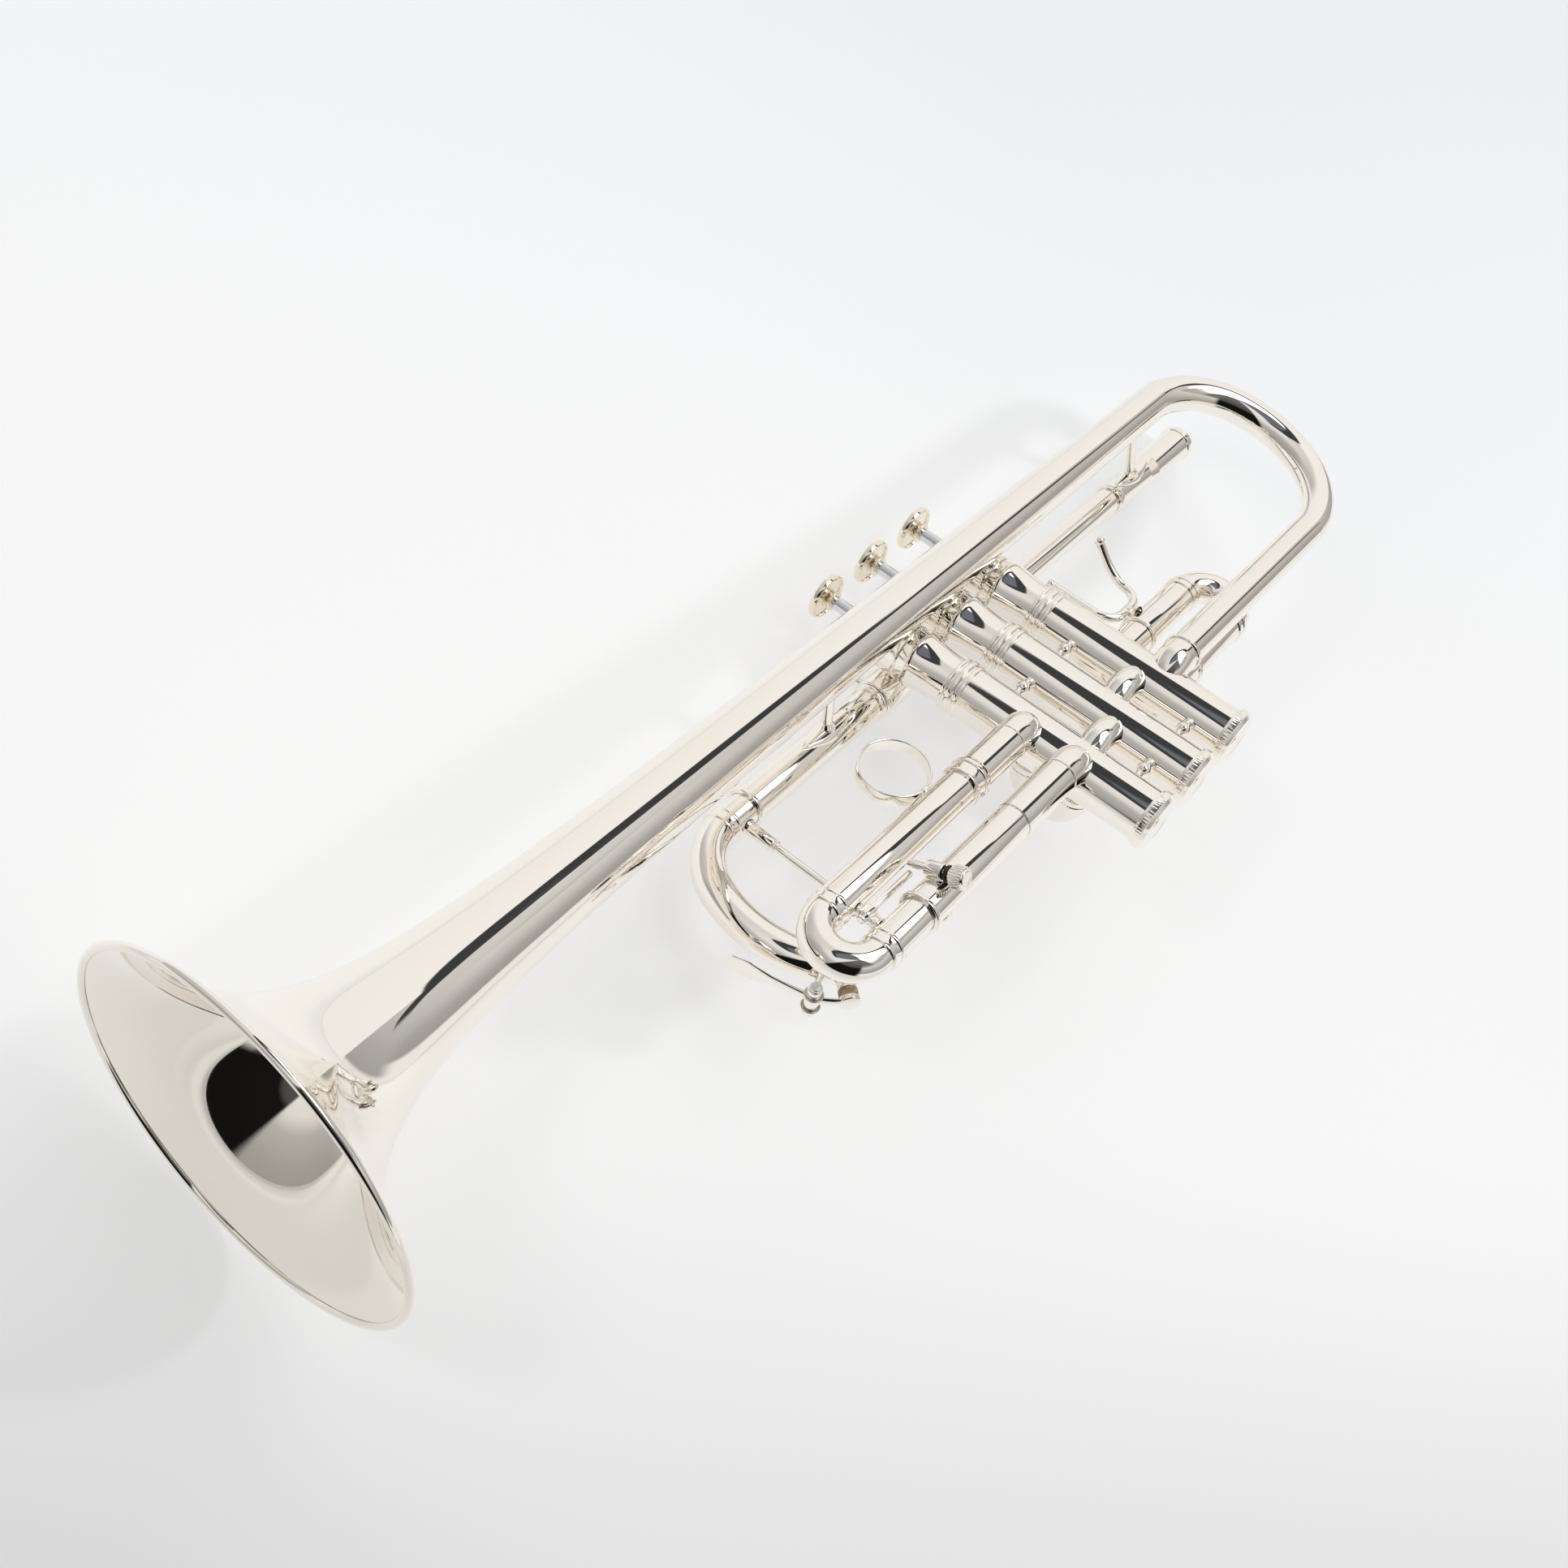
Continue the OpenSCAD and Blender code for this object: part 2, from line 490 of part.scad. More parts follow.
// ---- main tuning slide ----
module ts_parts(ro, ri) translate([0, -lead_y, 0]) {
  bend_pipe([ts_x0, 0, lead_z - ts_rc], ts_rc, ro, ri, 90 - ts_al, ts_al);
  bend_pipe([ts_x0 + ts_rc*sin(ts_al) - ts_rm*sin(ts_al), 0, lead_z - tuning_h/2], ts_rm, ro, ri, ts_al - 90, 180 - 2*ts_al);
  bend_pipe([ts_x0, 0, ts_z + ts_rc], ts_rc, ro, ri, 270, ts_al);
}
nip = [ts_x0 + ts_rc*sin(42), -lead_y, ts_z + ts_rc - ts_rc*cos(42)];
nip_d = [sin(42), 0, -cos(42)];
module tuning_crook() color(silver) pose() difference() {
  union() {
    ts_parts(inner_r + 0.15, inner_r - 0.5);
    ring_x(ts_x0 - 1, -lead_y, lead_z, inner_r + 0.75, inner_r, 5);
    ring_x(ts_x0 - 1, -lead_y, ts_z, inner_r + 0.75, inner_r, 5);
    difference() {
      rod(nip, nip + nip_d*9.4, 3.3);
      rod(nip, nip + nip_d*5.9, 5.9);
    }
    rod(nip + nip_d*5.6, nip + nip_d*9.4, 3.3);
  }
  rod(nip, nip + nip_d*12, 1.9);
}
module tuning_inner_tubes() color(silver) pose() union() {
  pipe([-260, -lead_y, lead_z], [ts_x0 - 0.0, -lead_y, lead_z], inner_r, air_r);
  pipe([-258, -lead_y, ts_z], [ts_x0 - 0.0, -lead_y, ts_z], inner_r, air_r);
}
module tuning_brace() color(silver) pose() difference() {
  union() {
    rod([-196.2, -lead_y, lead_z], [-196.2, -lead_y, lead_z - 18], 2.4);
    rod([-196.2, -lead_y, lead_z - 16], [-196.2, -lead_y, ts_z + 16], 1.5);
    rod([-196.2, -lead_y, ts_z + 18], [-196.2, -lead_y, ts_z], 2.4);
  }
  rod([-230, -lead_y, lead_z], [-180, -lead_y, lead_z], inner_r);
  rod([-230, -lead_y, ts_z], [-180, -lead_y, ts_z], inner_r);
}
// Water key: lever on a cross screw, cork over the nipple of the crook
wk = nip + nip_d*12 + [sin(48), 0, cos(48)]*11.5;   // pivot
module water_key_saddle() color(silver) pose() difference() {
  union() {
    for (s = [-1, 1]) rod([wk[0], -lead_y + s*4.95, wk[2]] , [wk[0] - 11.2, -lead_y + s*4.4, wk[2] + 4.2], 1.15);
    for (s = [-1, 1]) translate([wk[0], -lead_y + s*4.95 - 1.1, wk[2]]) rotate([-90, 0, 0]) cylinder(h = 2.2, r = 2.3);
  }
  ts_parts(inner_r + 0.15, 0.01);
  rod([wk[0], -lead_y - 9, wk[2]], [wk[0], -lead_y + 9, wk[2]], 1.05);
}
module water_key_lever() color(silver) pose() difference() {
  union() {
    translate([wk[0], -lead_y - 3.7, wk[2]]) rotate([-90, 0, 0]) cylinder(h = 7.4, r = 2.4);
    hull() {
      translate([wk[0], -lead_y, wk[2]]) rotate([90, 0, 0]) cylinder(h = 4.4, r = 0.9, center = true);
      translate([wk[0] + 3.2, -lead_y, wk[2] + 12]) rotate([90, 0, 0]) cylinder(h = 5.6, r = 0.6, center = true);
    }
    hull() {
      translate([wk[0] + 3.2, -lead_y, wk[2] + 12]) rotate([90, 0, 0]) cylinder(h = 5.6, r = 0.6, center = true);
      translate([wk[0] + 8.0, -lead_y, wk[2] + 28]) rotate([90, 0, 0]) cylinder(h = 8.2, r = 0.5, center = true);
    }
    hull() {
      translate([wk[0], -lead_y, wk[2]]) rotate([90, 0, 0]) cylinder(h = 3.6, r = 0.9, center = true);
      translate(nip + nip_d*13.6) rotate([90, 0, 0]) cylinder(h = 5, r = 0.7, center = true);
    }
    rod(nip + nip_d*12.4, nip + nip_d*14.2, 3.7);
  }
  rod([wk[0], -lead_y - 9, wk[2]], [wk[0], -lead_y + 9, wk[2]], 1.05);
}
module water_key_screw() color(steel) pose() union() {
  rod([wk[0], -lead_y - 6.05, wk[2]], [wk[0], -lead_y + 6.1, wk[2]], 1.0);
  rod([wk[0], -lead_y + 6.1, wk[2]], [wk[0], -lead_y + 7.3, wk[2]], 1.9);
}
module water_key_spring() color(spring_c) pose() union() {
  for (s = [-1, 1]) translate([wk[0], -lead_y + s*2.95, wk[2]]) rotate([90, 0, 0]) rotate_extrude() translate([2.78, 0]) circle(r = 0.36);
}
module water_key_cork() color(cork) pose() rod(nip + nip_d*9.43, nip + nip_d*12.4, 3.2);

// ---- third-valve slide, moving side ----
x3c = x3_front - inner_r - 0.15 - crook_r;
module third_crook() color(silver) pose() union() {
  bend_pipe([x3c, y3, z3 - crook_r], crook_r, inner_r + 0.15, inner_r - 0.45, -90, 180);
  ring_x(x3c - 2.5, y3, z3, inner_r + 0.75, inner_r + 0.02, 5);
  ring_x(x3c - 2.5, y3, z3 - leg_gap, inner_r + 0.75, inner_r + 0.02, 5);
}
module third_sleeve() color(silver) pose() difference() {
  union() {
    rod([sleeve_x, y3, z3], [x3c, y3, z3], inner_r + 0.02);
    rod([sleeve_x, y3, z3], [x3c - 5, y3, z3], outer_r - 0.15);
    bead_x(sleeve_x + 1.0, y3, z3, outer_r + 1.0, 2.0);
    bead_x(sleeve_x + 5.2, y3, z3, outer_r + 0.7, 1.4);
  }
  rod([sleeve_x - 1, y3, z3], [x3c + 1, y3, z3], inner_r - tube_wall);
}
module third_inner_tube() color(silver) pose() pipe([-258, y3, z3 - leg_gap], [x3c, y3, z3 - leg_gap], inner_r, air_r);
fr = 12.3;
module finger_ring() color(silver) pose() difference() {
  union() {
    translate([-228.5, y3 + 2.6, z3 + outer_r + fr - 0.3]) rotate([90, 0, 0]) cylinder(h = 5.2, r = fr);
    rod([-228.5, y3, z3 + 3], [-228.5, y3, z3 + outer_r + 1.2], 3.2);
  }
  translate([-228.5, y3 + 5, z3 + outer_r + fr - 0.3]) rotate([90, 0, 0]) cylinder(h = 10, r = fr - 1.1);
  rod([-250, y3, z3], [-200, y3, z3], outer_r - 0.15);
}
module third_brace() color(silver) pose() union() {
  difference() {
    rod([-177.5, y3, z3 - 5], [-177.5, y3, z3 - leg_gap + 5], 1.9);
    rod([-190, y3, z3], [-160, y3, z3], outer_r - 0.15);
    rod([-190, y3, z3 - leg_gap], [-160, y3, z3 - leg_gap], inner_r);
  }
  translate([-179.6, y3 + 1.4, z3 - 9.6]) rotate([0, 90, 0]) cylinder(h = 4.4, r = 2.4);
  rod([-179, y3 + 1.4, z3 - 9.6], [-199.3, y3 + 1.4, z3 - 9.6], 1.15);
}

// ---- first-valve slide, moving side ----
x1c = x1_back + inner_r + 0.15 + crook_r;
module first_crook() color(silver) pose() union() {
  bend_pipe([x1c, y1, z1 - crook_r], crook_r, inner_r + 0.15, inner_r - 0.45, 90, 180);
  for (z = [z1, z1 - leg_gap]) ring_x(x1c + 2, y1, z, outer_r + 0.4, outer_r, 4);
}
module first_sleeves() color(silver) pose() for (z = [z1, z1 - leg_gap]) difference() {
  union() {
    rod([x1c, y1, z], [first_joint - 0.1, y1, z], outer_r);
    bead_x(first_joint - 1.0, y1, z, outer_r + 0.9, 1.8);
  }
  rod([x1c - 1, y1, z], [first_joint + 1, y1, z], outer_r - tube_wall);
}
// U-shaped thumb saddle on the upper leg
saddle_x = -364;
saddle_R = 7.5;
module thumb_saddle() color(silver) pose() difference() {
  union() {
    rod([saddle_x, y1 + 3.6, z1 + 3.6], [saddle_x, y1 + 2.4, z1 + 8.6], 2.8);
    rod([saddle_x - 2.5, y1 + 2, z1 + 9], [saddle_x + 2.5, y1 + 2, z1 + 9], 1.7);
    translate([saddle_x + 2.5, y1 + 2, z1 + 9 + saddle_R]) rotate([90, 0, 0]) rotate([0, 0, -90])
      rotate_extrude(angle = 90) translate([saddle_R, 0]) circle(r = 1.7);
    rod([saddle_x + 10, y1 + 2, z1 + 16.5], [saddle_x + 10, y1 + 2, z1 + 36], 1.7);
    translate([saddle_x - 2.5, y1 + 2, z1 + 9 + saddle_R]) rotate([90, 0, 0]) rotate([0, 0, 180])
      rotate_extrude(angle = 90) translate([saddle_R, 0]) circle(r = 1.7);
    rod([saddle_x - 10, y1 + 2, z1 + 16.3], [saddle_x - 12, y1 + 12.5, z1 + 32], 1.75);
    translate([saddle_x - 12, y1 + 12.5, z1 + 32]) sphere(r = 2.1);
    translate([saddle_x + 10, y1 + 2, z1 + 36]) sphere(r = 2.1);
  }
  rod([-400, y1, z1], [-340, y1, z1], outer_r);
}

// ---- second-valve slide, moving side ----
y2c = y2_mouth - 8;
module in_second() translate([vx(2), 0, 0]) rotate([0, 0, -90]) children();
module second_crook() color(silver) pose() union() {
  in_second() bend_pipe([-y2c, 0, z2 - crook_r], crook_r, inner_r + 0.15, inner_r - 0.45, -90, 180);
  for (z = [z2, z2 - leg_gap]) difference() {
    rod([vx(2), y2c + 4, z], [vx(2), y2c, z], inner_r + 0.75);
    rod([vx(2), y2c + 5, z], [vx(2), y2c - 1, z], inner_r + 0.01);
  }
}
module second_inner_tubes() color(silver) pose() for (z = [z2, z2 - leg_gap]) 
  pipe([vx(2), y2c, z], [vx(2), -valve_y - casing_r - 1, z], inner_r, air_r);

bell_flare();
bell_rim();
bell_tail();
bell_bow();
bell_lower_leg();
bell_knuckle();
casing_1();
casing_2();
casing_3();
top_caps();
bottom_cap_1();
bottom_cap_2();
bottom_cap_3();
casing_studs();
intervalve_knuckles();
cap_felts();
leadpipe();
mouthpiece_receiver();
front_brace();
rear_brace();
pinky_hook();
tuning_outer_upper();
tuning_outer_lower();
third_tube_upper();
third_tube_lower();
slide_stop_post();
stop_thumb_screw();
stop_o_ring();
first_tubes();
second_outer_tubes();
piston_1();
piston_2();
piston_3();
valve_stem_1();
valve_stem_2();
valve_stem_3();
finger_button_1();
finger_button_2();
finger_button_3();
valve_spring_1();
valve_spring_2();
valve_spring_3();
tuning_crook();
tuning_inner_tubes();
tuning_brace();
water_key_saddle();
water_key_lever();
water_key_screw();
water_key_spring();
water_key_cork();
third_crook();
third_sleeve();
third_inner_tube();
finger_ring();
third_brace();
first_crook();
first_sleeves();
thumb_saddle();
second_crook();
second_inner_tubes();
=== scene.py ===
import bpy, bmesh, math, json
import numpy as np
from mathutils import Vector, Matrix


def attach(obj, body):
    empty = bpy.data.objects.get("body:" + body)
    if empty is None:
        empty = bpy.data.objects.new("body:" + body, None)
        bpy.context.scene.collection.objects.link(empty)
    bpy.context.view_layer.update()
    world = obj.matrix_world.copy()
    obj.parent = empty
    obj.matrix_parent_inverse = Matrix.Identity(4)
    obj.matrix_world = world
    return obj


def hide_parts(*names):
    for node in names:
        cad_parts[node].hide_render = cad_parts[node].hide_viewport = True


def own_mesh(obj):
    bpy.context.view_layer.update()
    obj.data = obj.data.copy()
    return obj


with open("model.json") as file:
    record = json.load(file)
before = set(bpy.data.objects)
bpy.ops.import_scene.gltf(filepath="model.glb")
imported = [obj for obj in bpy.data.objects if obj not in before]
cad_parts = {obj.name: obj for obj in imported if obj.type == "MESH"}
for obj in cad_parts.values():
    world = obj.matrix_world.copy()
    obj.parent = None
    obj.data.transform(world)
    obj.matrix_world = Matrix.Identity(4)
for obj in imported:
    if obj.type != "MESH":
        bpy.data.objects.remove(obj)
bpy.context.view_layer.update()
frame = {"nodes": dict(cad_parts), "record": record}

# ------------------------------------------------------------------ frame
# Player's frame: x forward to the bell (rim plane x = 0), y left, z towards the buttons, mm.
A, Bt = math.radians(113.42), math.radians(-2.344)
RX = np.array([[1, 0, 0], [0, math.cos(A), -math.sin(A)], [0, math.sin(A), math.cos(A)]])
RY = np.array([[math.cos(Bt), 0, math.sin(Bt)], [0, 1, 0], [-math.sin(Bt), 0, math.cos(Bt)]])
RM = RY @ RX
TT = np.array([239.24, -25.74, 60.14])


def W(p):
    return (np.asarray(p, float) @ RM.T + TT) / 1000.0


def V3(*a):
    return np.array(a, float)


# ------------------------------------------------------------------ sizes (as in the CAD)
rim_r, bell_wall, bell_join, tail_end = 60.2, 0.7, 190.0, 447.0
bow_r, bow_r2, bow_h, bow_lean, bow_back = 6.9, 6.2, 75.6, 12.3, 482.0
valve_x, pitch, valve_y, casing_r, bore_r = 308.0, 26.0, 20.2, 9.5, 8.5
button_r, button_z = 8.5, 28.6
outer_r, slide_gap, tube_wall, leg_gap = 6.45, 0.06, 0.5, 20.1
tuning_h, tuning_front, lead_y, lead_z = 66.4, 160.0, 38.0, -3.6
socket_r = 5.5
zv_ring, zv_bot, cap_r = -28.6, -104.2, 10.7
inner_r = outer_r - tube_wall - slide_gap
air_r = inner_r - 0.45
y3, z3, x3_front = -12.5, -56.0, -152.8
y1, z1, x1_back = -27.0, -55.5, -407.5
z2 = -52.0
ts_z = lead_z - tuning_h
crook_r = leg_gap / 2
sd, cd = (lambda a: math.sin(math.radians(a))), (lambda a: math.cos(math.radians(a)))
ts_rc, ts_al = 24.0, 66.0
ts_rm = (tuning_h - 2 * ts_rc * (1 - cd(ts_al))) / (2 * cd(ts_al))
ts_x0 = -tuning_front - inner_r - ts_rc * sd(ts_al) - ts_rm * (1 - sd(ts_al))
bow_hh = math.hypot(bow_h, bow_lean)
bow_tilt = math.atan2(bow_lean, bow_h)
bow_rc, bow_al = 34.0, 68.0
bow_rm = (bow_hh - 2 * bow_rc * (1 - cd(bow_al))) / (2 * cd(bow_al))
bow_x0 = -bow_back + (bow_r + bow_r2) / 2 + bow_rc * sd(bow_al) + bow_rm * (1 - sd(bow_al))
knuckle_x = -valve_x - pitch - 14.5
lead_back = -480.0
sleeve_x, ring3_x, first_joint = -246.0, -189.5, -358.0
y2_mouth = -valve_y - 33
y2c = y2_mouth - 8
x3c = x3_front - inner_r - 0.15 - crook_r
x1c = x1_back + inner_r + 0.15 + crook_r


def vx(n):
    return -valve_x + (n - 2) * pitch


def flare(d):
    return (13.02 - 0.01424 * d + 2.2146e8 / (d + 67.66) ** 3.6483) * (rim_r - 0.6) / 59.55


def soft_tail(d):
    f = flare(d)
    k = 0.12
    return bow_r + k * math.log1p(math.exp(min(60, (f - bow_r) / k)))


# ------------------------------------------------------------------ materials
def nodes_of(mat):
    mat.use_nodes = True
    nt = mat.node_tree
    return nt, nt.nodes, nt.links, nt.nodes["Principled BSDF"]


def metal(name, col, rough, vary=0.015, scratch=0.02, warm=0.02, scale=60.0, brushed=False):
    m = bpy.data.materials.new(name)
    nt, N, L, bs = nodes_of(m)
    bs.inputs["Metallic"].default_value = 1.0
    tc = N.new("ShaderNodeTexCoord")
    n1 = N.new("ShaderNodeTexNoise"); n1.inputs["Scale"].default_value = scale; n1.inputs["Detail"].default_value = 3
    L.new(tc.outputs["Object"], n1.inputs["Vector"])
    r1 = N.new("ShaderNodeMapRange")
    r1.inputs["From Min"].default_value, r1.inputs["From Max"].default_value = 0.3, 0.7
    r1.inputs["To Min"].default_value, r1.inputs["To Max"].default_value = max(0.005, rough - vary), rough + vary
    L.new(n1.outputs["Fac"], r1.inputs["Value"]); L.new(r1.outputs["Result"], bs.inputs["Roughness"])
    n2 = N.new("ShaderNodeTexNoise"); n2.inputs["Scale"].default_value = 14; n2.inputs["Detail"].default_value = 2
    L.new(tc.outputs["Object"], n2.inputs["Vector"])
    mix = N.new("ShaderNodeMix"); mix.data_type = "RGBA"
    mix.inputs[6].default_value = (*col, 1)
    mix.inputs[7].default_value = (min(1, col[0] * (1 - warm * 0.4)), col[1] * (1 - warm), col[2] * (1 - 2.6 * warm), 1)
    r2 = N.new("ShaderNodeMapRange"); r2.inputs["From Min"].default_value, r2.inputs["From Max"].default_value = 0.4, 0.75
    L.new(n2.outputs["Fac"], r2.inputs["Value"]); L.new(r2.outputs["Result"], mix.inputs[0])
    L.new(mix.outputs[2], bs.inputs["Base Color"])
    n3 = N.new("ShaderNodeTexNoise"); n3.inputs["Scale"].default_value = 900 if not brushed else 500
    n3.inputs["Detail"].default_value = 4
    mp = N.new("ShaderNodeMapping")
    mp.inputs["Scale"].default_value = (0.12, 1, 1) if not brushed else (4, 4, 0.15)
    L.new(tc.outputs["Object"], mp.inputs["Vector"]); L.new(mp.outputs["Vector"], n3.inputs["Vector"])
    bp = N.new("ShaderNodeBump"); bp.inputs["Strength"].default_value = scratch; bp.inputs["Distance"].default_value = 0.0001
    L.new(n3.outputs["Fac"], bp.inputs["Height"]); L.new(bp.outputs["Normal"], bs.inputs["Normal"])
    return m


def soft(name, col, rough, scale, bump, col2=None):
    m = bpy.data.materials.new(name)
    nt, N, L, bs = nodes_of(m)
    bs.inputs["Roughness"].default_value = rough
    tc = N.new("ShaderNodeTexCoord")
    n1 = N.new("ShaderNodeTexNoise"); n1.inputs["Scale"].default_value = scale; n1.inputs["Detail"].default_value = 5
    L.new(tc.outputs["Object"], n1.inputs["Vector"])
    rp = N.new("ShaderNodeValToRGB")
    c2 = col2 or tuple(c * 0.6 for c in col)
    rp.color_ramp.elements[0].position, rp.color_ramp.elements[1].position = 0.35, 0.68
    rp.color_ramp.elements[0].color = (*c2, 1); rp.color_ramp.elements[1].color = (*col, 1)
    L.new(n1.outputs["Fac"], rp.inputs["Fac"]); L.new(rp.outputs["Color"], bs.inputs["Base Color"])
    bp = N.new("ShaderNodeBump"); bp.inputs["Strength"].default_value = bump; bp.inputs["Distance"].default_value = 0.0003
    L.new(n1.outputs["Fac"], bp.inputs["Height"]); L.new(bp.outputs["Normal"], bs.inputs["Normal"])
    return m


SILVER = metal("silver_plate", (0.955, 0.912, 0.845), 0.035, vary=0.012, scratch=0.012)
GILT = metal("button_plate", (0.93, 0.85, 0.70), 0.07, vary=0.02, scratch=0.02, warm=0.05)
STEEL = metal("stem_steel", (0.74, 0.75, 0.77), 0.16, vary=0.04, scratch=0.12, warm=0.0, brushed=True)
WIRE = metal("spring_steel", (0.62, 0.58, 0.50), 0.22, vary=0.05, scratch=0.05)
RUBBER = soft("black_rubber", (0.018, 0.018, 0.018), 0.45, 300, 0.2, (0.01, 0.01, 0.01))
FELT = soft("felt", (0.07, 0.065, 0.06), 0.95, 900, 0.8, (0.02, 0.02, 0.02))
CORK = soft("cork", (0.60, 0.42, 0.26), 0.85, 700, 0.7, (0.32, 0.2, 0.11))
BY_SLOT = {"silver": SILVER, "button_gilt": GILT, "piston_steel": STEEL, "spring_wire": WIRE,
           "black_rubber": RUBBER, "felt": FELT, "cork": CORK}
NODE_SLOT = {s["node"]: s["material_slot"] for s in frame["record"]["subparts"]}
BODY_OF = {n: b for b, ns in frame["record"]["behaviour"]["bodies"].items() for n in ns}


# ------------------------------------------------------------------ mesh building
def fil(pts, rad=0.2, closed=False, n=4):
    """Rounds the corners of a profile. A point may carry its own radius as a third number."""
    P = [(p[0], p[1]) for p in pts]
    R = [p[2] if len(p) > 2 else rad for p in pts]
    out = []
    m = len(P)
    for i in range(m):
        if not closed and i in (0, m - 1) or R[i] <= 0:
            out.append(P[i]); continue
        a, b, c = (np.array(P[(i - 1) % m]), np.array(P[i]), np.array(P[(i + 1) % m]))
        u, v = a - b, c - b
        lu, lv = np.linalg.norm(u), np.linalg.norm(v)
        if lu < 1e-9 or lv < 1e-9:
            out.append(P[i]); continue
        u, v = u / lu, v / lv
        ang = math.acos(max(-1, min(1, float(u @ v))))
        if ang > math.pi - 0.05:
            out.append(P[i]); continue
        t = min(R[i] / math.tan(ang / 2), 0.48 * lu, 0.48 * lv)
        r = t * math.tan(ang / 2)
        bis = (u + v) / np.linalg.norm(u + v)
        cc = b + bis * (r / math.sin(ang / 2))
        p0, p1 = b + u * t, b + v * t
        a0, a1 = math.atan2(*(p0 - cc)[::-1]), math.atan2(*(p1 - cc)[::-1])
        d = (a1 - a0 + math.pi) % (2 * math.pi) - math.pi
        for k in range(n + 1):
            q = a0 + d * k / n
            out.append((cc[0] + r * math.cos(q), cc[1] + r * math.sin(q)))
    return out


def basis(d):
    d = np.asarray(d, float); d = d / np.linalg.norm(d)
    h = V3(0, 0, 1) if abs(d[2]) < 0.9 else V3(0, 1, 0)
    e1 = np.cross(h, d); e1 /= np.linalg.norm(e1)
    return d, e1, np.cross(d, e1)


